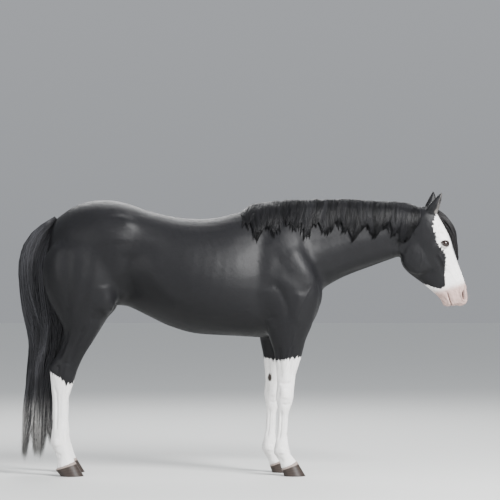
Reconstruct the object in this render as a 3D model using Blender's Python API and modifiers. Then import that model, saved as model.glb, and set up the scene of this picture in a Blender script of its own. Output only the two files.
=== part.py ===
"""A standing stock horse at life size: body nodes, hooves, eyes and hair masses as closed solids.

Metres, +Z up. The horse faces +X, its right side faces -Y, the soles stand on Z = 0 and the
origin is under the middle of its length. Every soft form is a loft through a short table of
sections. A section is cut by a plane square to XZ: it runs from a front or upper outline point A
to a rear or lower outline point B and is a superellipse across.
"""

import math
from collections import Counter

import bmesh
import bpy
import numpy as np
from mathutils import Matrix, Vector
from mathutils.bvhtree import BVHTree

NAME = "standing_horse"
RIGHT = -1
LEFT = 1
SIDES = {"right": RIGHT, "left": LEFT}

# Driving sizes
CUT_GAP = 0.0004  # width of the thin cuts that part the body into nodes
HAIR_GAP = 0.0005  # space between a hair mass and the body under it
RING = 40  # points round a section
HOOF_RING = 24
STEP = 0.018  # spacing of the sections along a loft
VOXEL = 0.0085  # grain of the joined body before the head is magnified
TAIL_GRAIN = 0.009
MANE_GRAIN = 0.0062
WELD = 0.00002  # edges shorter than this are closed up
BODY_FACES = 3700
TAIL_FACES = 460
MANE_FACES = 620
FORELOCK_FACES = 170
EYE_RINGS = (14, 8)
HEAD_CENTRE = Vector((1.10, 0.0, 1.28))
HEAD_REACH = 0.36  # inside this distance of HEAD_CENTRE the surface is made at finer grain
HEAD_ZOOM = 2.1

LEFT_FORE_SHIFT = -0.066  # the left forefoot stands this far behind the right one
LEFT_HIND_SHIFT = -0.012
SHIFT_TOP = 1.05  # a leg's shift fades out at this height
SHIFT_FULL = 0.70

EYE_RADIUS = 0.0265
EYE_CENTRE = Vector((1.157, 0.0770, 1.325))
SOCKET_GAP = 0.0004

KNEE_CUT_Z = 0.520
HOCK_CUT_Z = 0.535
ELBOW_CUT_Z = 0.770
STIFLE_CUT_Z = 0.952

FORE_CORONET = ((0.317, 0.075), (0.222, 0.036))
HIND_CORONET = ((-0.951, 0.077), (-1.068, 0.036))
FORE_SOLE = (0.361, 0.236)  # toe and heel on the ground
HIND_SOLE = (-0.904, -1.036)
SOLE_HALF_WIDTH = 0.061
CORONET_HALF_WIDTH = 0.0475
HOOF_LEVELS = 3
HOOF_SHAPE = (0.52, 2.1, 2.6)  # level of the widest point, squareness of toe and of heels
FORE_FOOT_Y = 0.124
HIND_FOOT_Y = 0.136

# Section tables. Each row: A x, A z, B x, B z, half width, y of the middle.
# Trunk rows stand upright and add: level of the widest point from A to B, squareness above, below.
TRUNK = (
    (-1.125, 1.310, -1.125, 1.170, 0.050, 0.0, 0.50, 2.0, 2.0),
    (-1.095, 1.428, -1.095, 1.060, 0.130, 0.0, 0.50, 2.0, 2.0),
    (-1.030, 1.505, -1.030, 1.005, 0.200, 0.0, 0.45, 2.0, 2.0),
    (-0.940, 1.557, -0.940, 0.985, 0.242, 0.0, 0.44, 2.0, 2.0),  # tail head
    (-0.850, 1.577, -0.850, 0.975, 0.262, 0.0, 0.44, 2.1, 2.0),  # croup
    (-0.750, 1.578, -0.750, 0.970, 0.268, 0.0, 0.44, 2.1, 2.0),
    (-0.660, 1.560, -0.660, 0.962, 0.264, 0.0, 0.46, 2.1, 2.0),  # points of the hip
    (-0.560, 1.524, -0.560, 0.915, 0.270, 0.0, 0.50, 2.1, 2.0),  # loin
    (-0.435, 1.491, -0.435, 0.855, 0.294, 0.0, 0.55, 2.0, 2.0),
    (-0.300, 1.472, -0.300, 0.812, 0.312, 0.0, 0.57, 2.0, 2.0),  # deepest rib
    (-0.158, 1.477, -0.158, 0.797, 0.310, 0.0, 0.58, 1.9, 2.0),
    (-0.030, 1.508, -0.030, 0.792, 0.290, 0.0, 0.60, 1.8, 2.0),
    (0.080, 1.536, 0.080, 0.785, 0.260, 0.0, 0.62, 1.7, 2.0),  # withers
    (0.180, 1.546, 0.180, 0.785, 0.238, 0.0, 0.62, 1.7, 2.0),
    (0.280, 1.520, 0.280, 0.795, 0.225, 0.0, 0.58, 1.9, 2.0),
    (0.360, 1.400, 0.360, 0.830, 0.205, 0.0, 0.50, 2.1, 2.0),
    (0.420, 1.250, 0.420, 0.890, 0.165, 0.0, 0.50, 2.1, 2.0),
    (0.452, 1.140, 0.452, 0.970, 0.095, 0.0, 0.50, 2.0, 2.0),  # breast
)
NECK = (
    (0.060, 1.500, 0.360, 0.980, 0.190, 0.0, 0.60, 1.7, 2.0),
    (0.160, 1.548, 0.452, 1.055, 0.168, 0.0, 0.60, 1.6, 2.0),
    (0.300, 1.559, 0.515, 1.096, 0.138, 0.0, 0.60, 1.6, 2.0),
    (0.460, 1.563, 0.603, 1.140, 0.116, 0.0, 0.58, 1.6, 2.0),
    (0.620, 1.562, 0.735, 1.190, 0.101, 0.0, 0.56, 1.6, 2.0),
    (0.800, 1.552, 0.850, 1.232, 0.090, 0.0, 0.54, 1.7, 2.0),
    (0.930, 1.542, 0.912, 1.254, 0.085, 0.0, 0.52, 1.8, 2.0),  # throat
    (1.020, 1.528, 0.980, 1.275, 0.072, 0.0, 0.50, 2.0, 2.0),
)
HEAD = (
    (1.035, 1.543, 0.990, 1.505, 0.034, 0.0, 0.50, 2.0, 2.0),  # poll
    (1.075, 1.535, 0.965, 1.455, 0.062, 0.0, 0.50, 2.1, 2.0),
    (1.115, 1.505, 0.937, 1.385, 0.080, 0.0, 0.42, 2.3, 2.0),
    (1.150, 1.447, 0.915, 1.315, 0.091, 0.0, 0.32, 2.6, 2.0),  # forehead
    (1.180, 1.392, 0.908, 1.250, 0.097, 0.0, 0.28, 2.7, 2.0),  # brow
    (1.199, 1.342, 0.920, 1.203, 0.093, 0.0, 0.28, 2.7, 2.1),
    (1.212, 1.295, 0.952, 1.160, 0.082, 0.0, 0.32, 2.7, 2.1),  # cheek
    (1.228, 1.250, 0.998, 1.126, 0.069, 0.0, 0.38, 2.6, 2.1),
    (1.246, 1.203, 1.042, 1.094, 0.059, 0.0, 0.42, 2.5, 2.1),  # nose bone
    (1.263, 1.158, 1.080, 1.062, 0.052, 0.0, 0.44, 2.4, 2.2),
    (1.279, 1.112, 1.112, 1.034, 0.049, 0.0, 0.42, 2.4, 2.2),
    (1.290, 1.068, 1.138, 1.006, 0.052, 0.0, 0.38, 2.4, 2.2),  # nostrils
    (1.291, 1.026, 1.152, 0.986, 0.051, 0.0, 0.38, 2.4, 2.2),
    (1.278, 0.992, 1.160, 0.972, 0.043, 0.0, 0.42, 2.3, 2.2),  # lips
    (1.248, 0.972, 1.185, 0.966, 0.024, 0.0, 0.50, 2.0, 2.0),
)
FORELEG = (
    (0.220, 1.480, 0.100, 1.480, 0.028, 0.050),
    (0.300, 1.380, 0.060, 1.380, 0.050, 0.115),  # shoulder blade
    (0.370, 1.250, 0.045, 1.250, 0.072, 0.150),
    (0.425, 1.130, 0.055, 1.130, 0.084, 0.158),
    (0.440, 1.040, 0.080, 1.030, 0.088, 0.155),  # point of the shoulder
    (0.420, 0.930, 0.110, 0.930, 0.087, 0.150),
    (0.394, 0.840, 0.135, 0.840, 0.081, 0.143),
    (0.368, 0.783, 0.152, 0.775, 0.074, 0.138),  # elbow
    (0.350, 0.714, 0.174, 0.714, 0.065, 0.132),
    (0.330, 0.650, 0.186, 0.650, 0.055, 0.127),  # forearm
    (0.309, 0.585, 0.193, 0.585, 0.046, 0.123),
    (0.299, 0.520, 0.195, 0.520, 0.045, 0.120),
    (0.295, 0.460, 0.189, 0.455, 0.049, 0.120),  # knee
    (0.285, 0.408, 0.196, 0.403, 0.042, 0.120),
    (0.268, 0.360, 0.202, 0.360, 0.030, 0.120),
    (0.261, 0.290, 0.199, 0.290, 0.026, 0.120),  # cannon
    (0.260, 0.225, 0.193, 0.225, 0.028, 0.120),
    (0.265, 0.175, 0.180, 0.172, 0.036, 0.120),
    (0.273, 0.140, 0.175, 0.136, 0.040, 0.121),  # fetlock
    (0.288, 0.112, 0.196, 0.098, 0.035, 0.122),
    (0.303, 0.092, 0.214, 0.068, 0.036, 0.123),  # pastern
    (0.317, 0.077, 0.221, 0.040, 0.048, 0.124),  # coronet
    (0.327, 0.055, 0.226, 0.014, 0.049, 0.124),
)
HIND_LEG = (
    (-0.740, 1.430, -0.960, 1.430, 0.070, 0.125),
    (-0.700, 1.290, -1.095, 1.310, 0.118, 0.150),
    (-0.700, 1.160, -1.143, 1.210, 0.130, 0.155),  # buttock
    (-0.710, 1.060, -1.138, 1.105, 0.128, 0.155),
    (-0.732, 0.980, -1.107, 1.000, 0.114, 0.154),  # stifle
    (-0.764, 0.915, -1.066, 0.920, 0.097, 0.151),
    (-0.812, 0.835, -1.030, 0.850, 0.080, 0.147),
    (-0.851, 0.765, -1.028, 0.778, 0.065, 0.142),  # gaskin
    (-0.891, 0.700, -1.051, 0.708, 0.055, 0.138),
    (-0.922, 0.645, -1.083, 0.655, 0.050, 0.134),
    (-0.942, 0.600, -1.106, 0.618, 0.051, 0.131),  # point of the hock
    (-0.955, 0.555, -1.101, 0.560, 0.053, 0.130),
    (-0.973, 0.500, -1.094, 0.500, 0.044, 0.130),
    (-0.990, 0.445, -1.088, 0.445, 0.033, 0.130),
    (-0.997, 0.370, -1.086, 0.370, 0.029, 0.130),  # cannon
    (-0.997, 0.285, -1.087, 0.285, 0.029, 0.131),
    (-0.993, 0.228, -1.094, 0.225, 0.034, 0.132),
    (-0.987, 0.188, -1.097, 0.186, 0.040, 0.133),  # fetlock
    (-0.977, 0.152, -1.076, 0.140, 0.037, 0.134),
    (-0.966, 0.115, -1.058, 0.098, 0.036, 0.135),  # pastern
    (-0.957, 0.092, -1.062, 0.062, 0.042, 0.136),
    (-0.950, 0.078, -1.067, 0.040, 0.048, 0.136),  # coronet
    (-0.942, 0.056, -1.060, 0.012, 0.049, 0.136),
)
# Ears run from the base up: A is the front edge, B the rear edge.
EAR = (
    (1.104, 1.470, 1.058, 1.480, 0.016, 0.040),
    (1.116, 1.500, 1.052, 1.512, 0.023, 0.045),
    (1.130, 1.530, 1.064, 1.545, 0.026, 0.050),
    (1.142, 1.560, 1.088, 1.572, 0.023, 0.054),
    (1.149, 1.590, 1.116, 1.600, 0.016, 0.057),
    (1.147, 1.612, 1.134, 1.616, 0.008, 0.058),
    (1.143, 1.622, 1.139, 1.623, 0.003, 0.058),
)
LEFT_EAR_SWING = math.radians(-17)  # the left ear is turned back from the right one
LEFT_EAR_PIVOT = Vector((1.09, 0.0, 1.49))
EAR_CUT = ((1.050, 1.556), (1.145, 1.520))
LEFT_EAR_CUT_SHIFT = -0.010
EAR_CUP = (1.141, 0.060, 1.566)
EAR_CUP_RADII = (0.024, 0.013, 0.040)
EAR_CUP_LEAN = 20
LEFT_CUP_SHIFT = -0.024

# Rounded masses under the skin: middle, radii, lean about Y in degrees.
PAIRED_MASSES = (
    ((1.005, 0.052, 1.262), (0.098, 0.040, 0.112), 14),  # cheek muscle
    ((1.148, 0.060, 1.332), (0.036, 0.042, 0.040), 15),  # eye rim
    ((1.264, 0.032, 1.046), (0.024, 0.022, 0.036), 10),  # nostril wing
    ((-0.665, 0.152, 1.405), (0.110, 0.095, 0.090), 20),  # point of the hip
    ((-1.070, 0.085, 1.180), (0.070, 0.080, 0.170), 8),  # buttock
    ((-0.800, 0.165, 1.020), (0.085, 0.088, 0.120), 0),  # stifle
    ((0.375, 0.085, 1.020), (0.085, 0.085, 0.140), 12),  # breast
    ((0.190, 0.150, 0.870), (0.065, 0.060, 0.085), -20),  # elbow
    ((0.130, 0.120, 1.130), (0.160, 0.125, 0.200), 25),  # upper arm
)
MIDDLE_MASSES = (
    ((1.176, 0.0, 0.990), (0.030, 0.034, 0.026), 10),  # chin
    ((1.250, 0.0, 1.000), (0.036, 0.042, 0.034), 0),  # upper lip
    ((0.700, 0.0, 1.375), (0.340, 0.090, 0.150), -2),  # neck
)
# Hollows pressed into both sides of the joined body: middle, radius, depth.
HOLLOWS = (
    ((1.136, 0.084, 1.388), 0.030, 0.008),  # above the eye
    ((1.172, 0.066, 1.170), 0.048, 0.007),  # under the cheek bone
    ((1.236, 0.046, 1.215), 0.036, 0.004),  # beside the nose bone
    ((1.280, 0.040, 1.060), 0.019, 0.008),  # nostril
    ((1.274, 0.046, 1.040), 0.018, 0.007),
    ((1.184, 0.048, 1.024), 0.020, 0.005),  # corner of the mouth
    ((1.198, 0.046, 1.000), 0.020, 0.005),
    ((0.885, 0.080, 1.320), 0.055, 0.010),  # behind the jaw
    ((-0.590, 0.255, 1.260), 0.130, 0.012),  # flank
    ((0.440, 0.000, 1.000), 0.060, 0.016),  # between the breast muscles
    ((-1.010, 0.060, 0.780), 0.070, 0.010),  # inside the gaskin
)

# Hair masses: A is the outer line, B the line nearest the body.
TAIL = (
    (-1.085, 1.488, -1.040, 1.440, 0.022, 0.0),  # tail head
    (-1.150, 1.447, -1.070, 1.380, 0.036, 0.0),
    (-1.222, 1.390, -1.085, 1.310, 0.047, 0.0),
    (-1.268, 1.320, -1.090, 1.240, 0.056, 0.0),
    (-1.289, 1.235, -1.090, 1.170, 0.063, 0.0),
    (-1.290, 1.150, -1.085, 1.100, 0.068, 0.0),
    (-1.278, 1.045, -1.070, 1.015, 0.072, 0.0),
    (-1.262, 0.940, -1.040, 0.925, 0.073, 0.0),
    (-1.236, 0.840, -1.020, 0.830, 0.070, 0.0),
    (-1.220, 0.730, -1.050, 0.715, 0.064, 0.0),
    (-1.233, 0.620, -1.085, 0.610, 0.058, 0.0),
    (-1.238, 0.500, -1.095, 0.490, 0.056, 0.0),
    (-1.256, 0.390, -1.098, 0.380, 0.058, 0.0),
    (-1.272, 0.280, -1.105, 0.280, 0.053, 0.0),
    (-1.262, 0.200, -1.130, 0.210, 0.036, 0.0),
    (-1.240, 0.150, -1.180, 0.155, 0.014, 0.0),
)
TAIL_LOCKS = (  # foot of a lock x, z, y, and its width where it is broadest
    (-1.258, 0.085, -0.012, 0.062),
    (-1.196, 0.100, 0.022, 0.058),
    (-1.165, 0.092, -0.026, 0.056),
    (-1.102, 0.165, 0.016, 0.062),
)
TAIL_LOCK_TOP = 0.40
TAIL_LOCK_ROWS = 7
TAIL_MIDDLE = -1.18  # the locks draw in towards this line at their tops
TAIL_LOCK_SPREAD = 0.4
FORELOCK = (
    (1.110, 1.535, 1.098, 1.510, 0.020, 0.0),
    (1.170, 1.492, 1.135, 1.455, 0.034, 0.0),
    (1.209, 1.442, 1.170, 1.410, 0.035, 0.0),
    (1.229, 1.394, 1.196, 1.368, 0.030, 0.0),
    (1.237, 1.325, 1.215, 1.308, 0.022, 0.0),
    (1.243, 1.270, 1.232, 1.262, 0.012, 0.0),
    (1.242, 1.232, 1.238, 1.230, 0.004, 0.0),
)
MANE_START = 0.030
MANE_END = 1.000
MANE_LOCKS = 18
MANE_DROP = (0.200, 0.245, 0.175, 0.225, 0.160)  # lengths of neighbouring locks, repeating
MANE_SWEEP = -0.035  # each tip hangs this far behind its root
MANE_THICKNESS = 0.016
MANE_RING = 12
MANE_STEPS = 10  # sections from the crest down to a lock's tip
MANE_OVERLAP = 1.35  # width of a lock over the spacing of the locks

COAT = (0.040, 0.040, 0.043)
WHITE = (0.86, 0.85, 0.83)
HAIR = (0.030, 0.030, 0.032)
HORN = (0.110, 0.078, 0.060)
EYE = (0.012, 0.008, 0.006)


def clear_scene():
    for obj in list(bpy.data.objects):
        bpy.data.objects.remove(obj, do_unlink=True)


def collection(name, hidden=False):
    made = bpy.data.collections.new(name)
    bpy.context.scene.collection.children.link(made)
    made.hide_render = hidden
    return made


def material(name, colour, roughness):
    made = bpy.data.materials.new(name)
    made.use_nodes = True
    shader = made.node_tree.nodes["Principled BSDF"]
    shader.inputs["Base Color"].default_value = (*colour, 1.0)
    shader.inputs["Roughness"].default_value = roughness
    shader.inputs["Metallic"].default_value = 0.0
    made.diffuse_color = (*colour, 1.0)
    return made


# Lofts


def filled_row(row, widest=0.5, square=2.0):
    """A table row with the columns that it leaves out."""
    return row if len(row) == 9 else (*row, widest, square, square)


def smooth_rows(table):
    """The table's rows resampled every STEP along a Catmull-Rom curve through them."""
    rows = np.array([filled_row(row) for row in table])
    middles = np.stack([(rows[:, 0] + rows[:, 2]) / 2, (rows[:, 1] + rows[:, 3]) / 2], 1)
    gaps = np.linalg.norm(np.diff(middles, axis=0), axis=1) + 1e-4
    slopes = np.diff(rows, axis=0) / gaps[:, None]
    tangents = np.empty_like(rows)
    tangents[0] = slopes[0]
    tangents[-1] = slopes[-1]
    before = gaps[:-1, None]
    after = gaps[1:, None]
    tangents[1:-1] = (slopes[:-1] * after + slopes[1:] * before) / (before + after)
    out = []
    for i, gap in enumerate(gaps):
        count = max(1, round(gap / STEP))
        for t in np.arange(count) / count:
            h00 = 2 * t**3 - 3 * t**2 + 1
            h10 = t**3 - 2 * t**2 + t
            out.append(
                h00 * rows[i]
                + h10 * gap * tangents[i]
                + (1 - h00) * rows[i + 1]
                + (t**3 - t**2) * gap * tangents[i + 1]
            )
    out.append(rows[-1])
    return np.array(out)


def section(row, count=RING):
    """The ring of points of one section."""
    ax, az, bx, bz, half, middle, widest, square_a, square_b = row
    turn = np.arange(count) * 2 * math.pi / count
    along = np.cos(turn)
    power = 2 / np.where(along >= 0, square_a, square_b)
    reach = np.abs(along) ** power
    level = np.where(along >= 0, widest * (1 - reach), widest + (1 - widest) * reach)
    across = middle + half * np.sign(np.sin(turn)) * np.abs(np.sin(turn)) ** power
    return np.stack([ax + level * (bx - ax), across, az + level * (bz - az)], 1)


def capped_tube(rings):
    """(points, faces) of rings joined in turn, with a fan of faces over each end."""
    around = len(rings[0])
    last = (len(rings) - 1) * around
    points = np.concatenate([*rings, [rings[0].mean(0)], [rings[-1].mean(0)]])
    start_cap = last + around
    faces = []
    for first in range(0, last, around):
        for k in range(around):
            here = first + k
            there = first + (k + 1) % around
            faces.append((here, there, there + around, here + around))
    for k in range(around):
        after = (k + 1) % around
        faces.append((start_cap, after, k))
        faces.append((start_cap + 1, last + k, last + after))
    return points, faces


def loft(table, side=RIGHT, shift=0.0):
    """(points, faces) of the closed loft through a table, on the given side of the body."""
    points, faces = capped_tube([section(row) for row in smooth_rows(table)])
    points[:, 1] *= side
    fade = np.clip((SHIFT_TOP - points[:, 2]) / (SHIFT_TOP - SHIFT_FULL), 0, 1)
    points[:, 0] += shift * fade * fade * (3 - 2 * fade)
    return points, faces


def ellipsoid(centre, radii, lean=0.0):
    """(points, faces) of a muscle or a bony point. lean turns it about Y, in degrees."""
    bm = bmesh.new()
    bmesh.ops.create_uvsphere(bm, u_segments=20, v_segments=14, radius=1.0)
    place = (
        Matrix.Translation(centre)
        @ Matrix.Rotation(math.radians(lean), 4, "Y")
        @ Matrix.Diagonal((*radii, 1.0))
    )
    bm.transform(place)
    points = np.array([v.co[:] for v in bm.verts])
    faces = [tuple(v.index for v in f.verts) for f in bm.faces]
    bm.free()
    return points, faces


def both_sides(centre, radii, lean=0.0):
    x, y, z = centre
    return [ellipsoid((x, side * y, z), radii, lean) for side in (RIGHT, LEFT)]


def mesh_of(name, shapes):
    """One mesh that holds every (points, faces) shape, all faces turned outwards."""
    bm = bmesh.new()
    for points, faces in shapes:
        verts = [bm.verts.new(p) for p in points]
        for face in faces:
            bm.faces.new([verts[i] for i in face])
    bmesh.ops.recalc_face_normals(bm, faces=bm.faces)
    mesh = bpy.data.meshes.new(name)
    bm.to_mesh(mesh)
    bm.free()
    return mesh


# Mesh work


def points_of(mesh):
    points = np.empty(len(mesh.vertices) * 3)
    mesh.vertices.foreach_get("co", points)
    return points.reshape(-1, 3)


def set_points(mesh, points):
    mesh.vertices.foreach_set("co", points.ravel())
    mesh.update()


def normals_of(mesh):
    normals = np.empty(len(mesh.vertices) * 3)
    mesh.vertex_normals.foreach_get("vector", normals)
    return normals.reshape(-1, 3)


def neighbour_pull(points, edges, degree):
    """From each point to the mean of its neighbours."""
    total = np.zeros_like(points)
    for axis in range(3):
        total[:, axis] = np.bincount(edges[:, 0], points[edges[:, 1], axis], len(points))
        total[:, axis] += np.bincount(edges[:, 1], points[edges[:, 0], axis], len(points))
    return total / degree[:, None] - points


def soften(mesh, crease_rounds, smooth_rounds):
    """Fills the creases where lofts meet, then evens out the whole surface."""
    edges = np.empty(len(mesh.edges) * 2, np.int64)
    mesh.edges.foreach_get("vertices", edges)
    edges = edges.reshape(-1, 2)
    degree = np.bincount(edges.ravel(), minlength=len(mesh.vertices))
    for _ in range(crease_rounds):
        points = points_of(mesh)
        normals = normals_of(mesh)
        lift = (neighbour_pull(points, edges, degree) * normals).sum(1).clip(0)
        set_points(mesh, points + 0.9 * lift[:, None] * normals)
    for _ in range(smooth_rounds):
        points = points_of(mesh)
        points += 0.5 * neighbour_pull(points, edges, degree)
        points -= 0.52 * neighbour_pull(points, edges, degree)
        set_points(mesh, points)


def press_hollows(mesh):
    points = points_of(mesh)
    normals = normals_of(mesh)
    for (x, y, z), radius, depth in HOLLOWS:
        for side in (RIGHT, LEFT):
            away = np.linalg.norm(points - (x, side * y, z), axis=1) / radius
            fall = np.clip(1 - away * away, 0, 1) ** 2
            points -= depth * fall[:, None] * normals
    set_points(mesh, points)


def magnified(points, back=False):
    """Points with the head swollen about its centre, or swollen points taken back."""
    centre = np.array(HEAD_CENTRE)
    offset = points - centre
    far = np.linalg.norm(offset, axis=1) + 1e-9
    grown = HEAD_REACH * HEAD_ZOOM
    if back:
        near = np.where(far < grown, far / HEAD_ZOOM, far - grown + HEAD_REACH)
    else:
        near = np.where(far < HEAD_REACH, far * HEAD_ZOOM, far - HEAD_REACH + grown)
    return centre + offset * (near / far)[:, None]


def with_modifier(mesh, kind, **settings):
    """The mesh after one modifier."""
    obj = bpy.data.objects.new("work", mesh)
    bpy.context.scene.collection.objects.link(obj)
    modifier = obj.modifiers.new(kind, kind)
    for key, value in settings.items():
        setattr(modifier, key, value)
    graph = bpy.context.evaluated_depsgraph_get()
    made = bpy.data.meshes.new_from_object(obj.evaluated_get(graph))
    bpy.data.objects.remove(obj, do_unlink=True)
    bpy.data.meshes.remove(mesh)
    return made


def joined(mesh, voxel):
    return with_modifier(mesh, "REMESH", mode="VOXEL", voxel_size=voxel)


def thinned(mesh, faces):
    ratio = faces / sum(len(p.vertices) - 2 for p in mesh.polygons)
    return with_modifier(mesh, "DECIMATE", ratio=min(1.0, ratio), use_symmetry=False)


def cut_by(mesh, cutters):
    """The mesh less each cutter object."""
    for cutter in cutters:
        mesh = with_modifier(mesh, "BOOLEAN", operation="DIFFERENCE", object=cutter)
    return mesh


def without_fins(faces):
    """The faces less each pair that lies back to back on the same corners."""
    corners = [frozenset(face) for face in faces]
    seen = Counter(corners)
    return [face for face, key in zip(faces, corners) if seen[key] == 1]


def loose_pieces(mesh):
    """The mesh's separate bodies as new meshes, largest first."""
    bm = bmesh.new()
    bm.from_mesh(mesh)
    bmesh.ops.dissolve_degenerate(bm, dist=WELD, edges=bm.edges)
    bmesh.ops.triangulate(bm, faces=bm.faces)
    bm.verts.index_update()
    seen = set()
    pieces = []
    for start in bm.verts:
        if start.index in seen:
            continue
        seen.add(start.index)
        stack = [start]
        island = []
        while stack:
            vert = stack.pop()
            island.append(vert)
            for edge in vert.link_edges:
                other = edge.other_vert(vert)
                if other.index not in seen:
                    seen.add(other.index)
                    stack.append(other)
        order = {vert.index: i for i, vert in enumerate(island)}
        faces = sorted({face for vert in island for face in vert.link_faces}, key=lambda f: f.index)
        shape = [tuple(order[v.index] for v in face.verts) for face in faces]
        pieces.append((np.array([v.co[:] for v in island]), without_fins(shape)))
    bm.free()
    pieces.sort(key=lambda piece: -len(piece[1]))
    return pieces


# Cutters


def box_cutter(name, cutters, centre, size, lean=0.0):
    """A box whose local X runs along its cut, leaned about Y by so many degrees."""
    bm = bmesh.new()
    bmesh.ops.create_cube(bm, size=1.0)
    place = (
        Matrix.Translation(centre)
        @ Matrix.Rotation(math.radians(lean), 4, "Y")
        @ Matrix.Diagonal((*size, 1.0))
    )
    bm.transform(place)
    mesh = bpy.data.meshes.new(name)
    bm.to_mesh(mesh)
    bm.free()
    return placed_cutter(name, cutters, mesh)


def placed_cutter(name, cutters, mesh):
    obj = bpy.data.objects.new(name, mesh)
    obj.hide_render = True
    obj.display_type = "WIRE"
    cutters.objects.link(obj)
    return obj


def line_cut(name, cutters, start, end, depth, reach=0.05, y=0.0):
    """A thin cut along the line from start to end in XZ, `depth` wide in Y."""
    start = Vector((start[0], y, start[1]))
    end = Vector((end[0], y, end[1]))
    run = end - start
    lean = -math.degrees(math.atan2(run.z, run.x))
    size = (run.length + 2 * reach, depth, CUT_GAP)
    return box_cutter(name, cutters, (start + end) / 2, size, lean)


def ear_cup(name, cutters, side):
    """The hollow of an ear, open to the front and a little outwards."""
    x, y, z = EAR_CUP
    if side == LEFT:
        x += LEFT_CUP_SHIFT
    shape = ellipsoid((x, side * y, z), EAR_CUP_RADII, EAR_CUP_LEAN)
    return placed_cutter(name, cutters, mesh_of(name, [shape]))


def ball(name, centre, radius):
    """An eyeball, or the socket it sits in."""
    bm = bmesh.new()
    around, along = EYE_RINGS
    bmesh.ops.create_uvsphere(bm, u_segments=around, v_segments=along, radius=radius)
    bm.transform(Matrix.Translation(centre) @ Matrix.Rotation(math.pi / 2, 4, "X"))
    mesh = bpy.data.meshes.new(name)
    bm.to_mesh(mesh)
    bm.free()
    return mesh


def leg_shift(kind, side):
    if side == RIGHT:
        return 0.0
    return LEFT_FORE_SHIFT if kind == "fore" else LEFT_HIND_SHIFT


def under_coronet(name, cutters, line, side, kind):
    """The block that trims a leg's flesh off along the coronet."""
    (fx, fz), (hx, hz) = line
    shift = leg_shift(kind, side)
    y = side * (FORE_FOOT_Y if kind == "fore" else HIND_FOOT_Y)
    run = Vector((fx - hx, 0, fz - hz))
    lean = -math.degrees(math.atan2(run.z, run.x))
    down = Vector((run.z, 0, -run.x)).normalized()
    depth = 0.12
    centre = Vector(((fx + hx) / 2 + shift, y, (fz + hz) / 2)) + down * depth / 2
    return box_cutter(name, cutters, centre, (0.20, 0.20, depth), lean)


# Pieces


def ear(side):
    points, faces = loft(EAR, side)
    if side == LEFT:
        turn = Matrix.Translation(LEFT_EAR_PIVOT) @ Matrix.Rotation(LEFT_EAR_SWING, 4, "Y")
        turn = turn @ Matrix.Translation(-LEFT_EAR_PIVOT)
        points = np.array([turn @ Vector(p) for p in points])
    return points, faces


def body_mesh():
    """The whole body joined into one closed surface."""
    shapes = [loft(TRUNK), loft(NECK), loft(HEAD)]
    for side in (RIGHT, LEFT):
        shapes.append(loft(FORELEG, side, leg_shift("fore", side)))
        shapes.append(loft(HIND_LEG, side, leg_shift("hind", side)))
        shapes.append(ear(side))
    for centre, radii, lean in PAIRED_MASSES:
        shapes += both_sides(centre, radii, lean)
    for centre, radii, lean in MIDDLE_MASSES:
        shapes.append(ellipsoid(centre, radii, lean))
    mesh = mesh_of("body", shapes)
    set_points(mesh, magnified(points_of(mesh)))
    mesh = joined(mesh, VOXEL)
    set_points(mesh, magnified(points_of(mesh), back=True))
    soften(mesh, crease_rounds=26, smooth_rounds=6)
    press_hollows(mesh)
    set_points(mesh, magnified(points_of(mesh)))
    mesh = thinned(mesh, BODY_FACES)
    set_points(mesh, magnified(points_of(mesh), back=True))
    return mesh


def body_cuts(cutters):
    cuts = [
        line_cut("cut_poll", cutters, (1.017, 1.561), (0.884, 1.221), 0.40),
        line_cut("cut_withers", cutters, (0.100, 1.575), (0.470, 1.030), 0.60),
        line_cut("cut_elbow", cutters, (0.02, ELBOW_CUT_Z), (0.45, ELBOW_CUT_Z), 0.60),
        line_cut("cut_stifle", cutters, (-1.20, STIFLE_CUT_Z), (-0.770, STIFLE_CUT_Z), 0.70),
        line_cut("cut_knee", cutters, (0.08, KNEE_CUT_Z), (0.36, KNEE_CUT_Z), 0.50),
        line_cut("cut_hock", cutters, (-1.16, HOCK_CUT_Z), (-0.90, HOCK_CUT_Z), 0.50),
    ]
    for word, side in SIDES.items():
        cuts.append(under_coronet(f"coronet_fore_{word}", cutters, FORE_CORONET, side, "fore"))
        cuts.append(under_coronet(f"coronet_hind_{word}", cutters, HIND_CORONET, side, "hind"))
        back = LEFT_EAR_CUT_SHIFT if side == LEFT else 0.0
        start, end = [(x + back, z) for x, z in EAR_CUT]
        cuts.append(line_cut(f"cut_ear_{word}", cutters, start, end, 0.120, 0.015, side * 0.062))
        cuts.append(ear_cup(f"cup_{word}", cutters, side))
        centre = Vector((EYE_CENTRE.x, side * EYE_CENTRE.y, EYE_CENTRE.z))
        socket = ball(f"socket_{word}", centre, EYE_RADIUS + SOCKET_GAP)
        cuts.append(placed_cutter(f"socket_{word}", cutters, socket))
    return cuts


def hoof(side, kind):
    """A hoof: slanted coronet above, flat sole below, drawn in towards the heels."""
    top, sole = (FORE_CORONET, FORE_SOLE) if kind == "fore" else (HIND_CORONET, HIND_SOLE)
    y = FORE_FOOT_Y if kind == "fore" else HIND_FOOT_Y
    (fx, fz), (hx, hz) = top
    drop = CUT_GAP / (fx - hx) * math.hypot(fx - hx, fz - hz)
    rings = []
    for t in np.linspace(0, 1, HOOF_LEVELS + 1):
        row = (
            fx + (sole[0] - fx) * t,
            (fz - drop) * (1 - t),
            hx + (sole[1] - hx) * t,
            (hz - drop) * (1 - t),
            CORONET_HALF_WIDTH + (SOLE_HALF_WIDTH - CORONET_HALF_WIDTH) * t,
            y,
            *HOOF_SHAPE,
        )
        rings.append(section(row, HOOF_RING))
    points, faces = capped_tube(rings)
    points[:, 1] *= side
    points[:, 0] += leg_shift(kind, side)
    return mesh_of("hoof", [(points, faces)])


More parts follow.
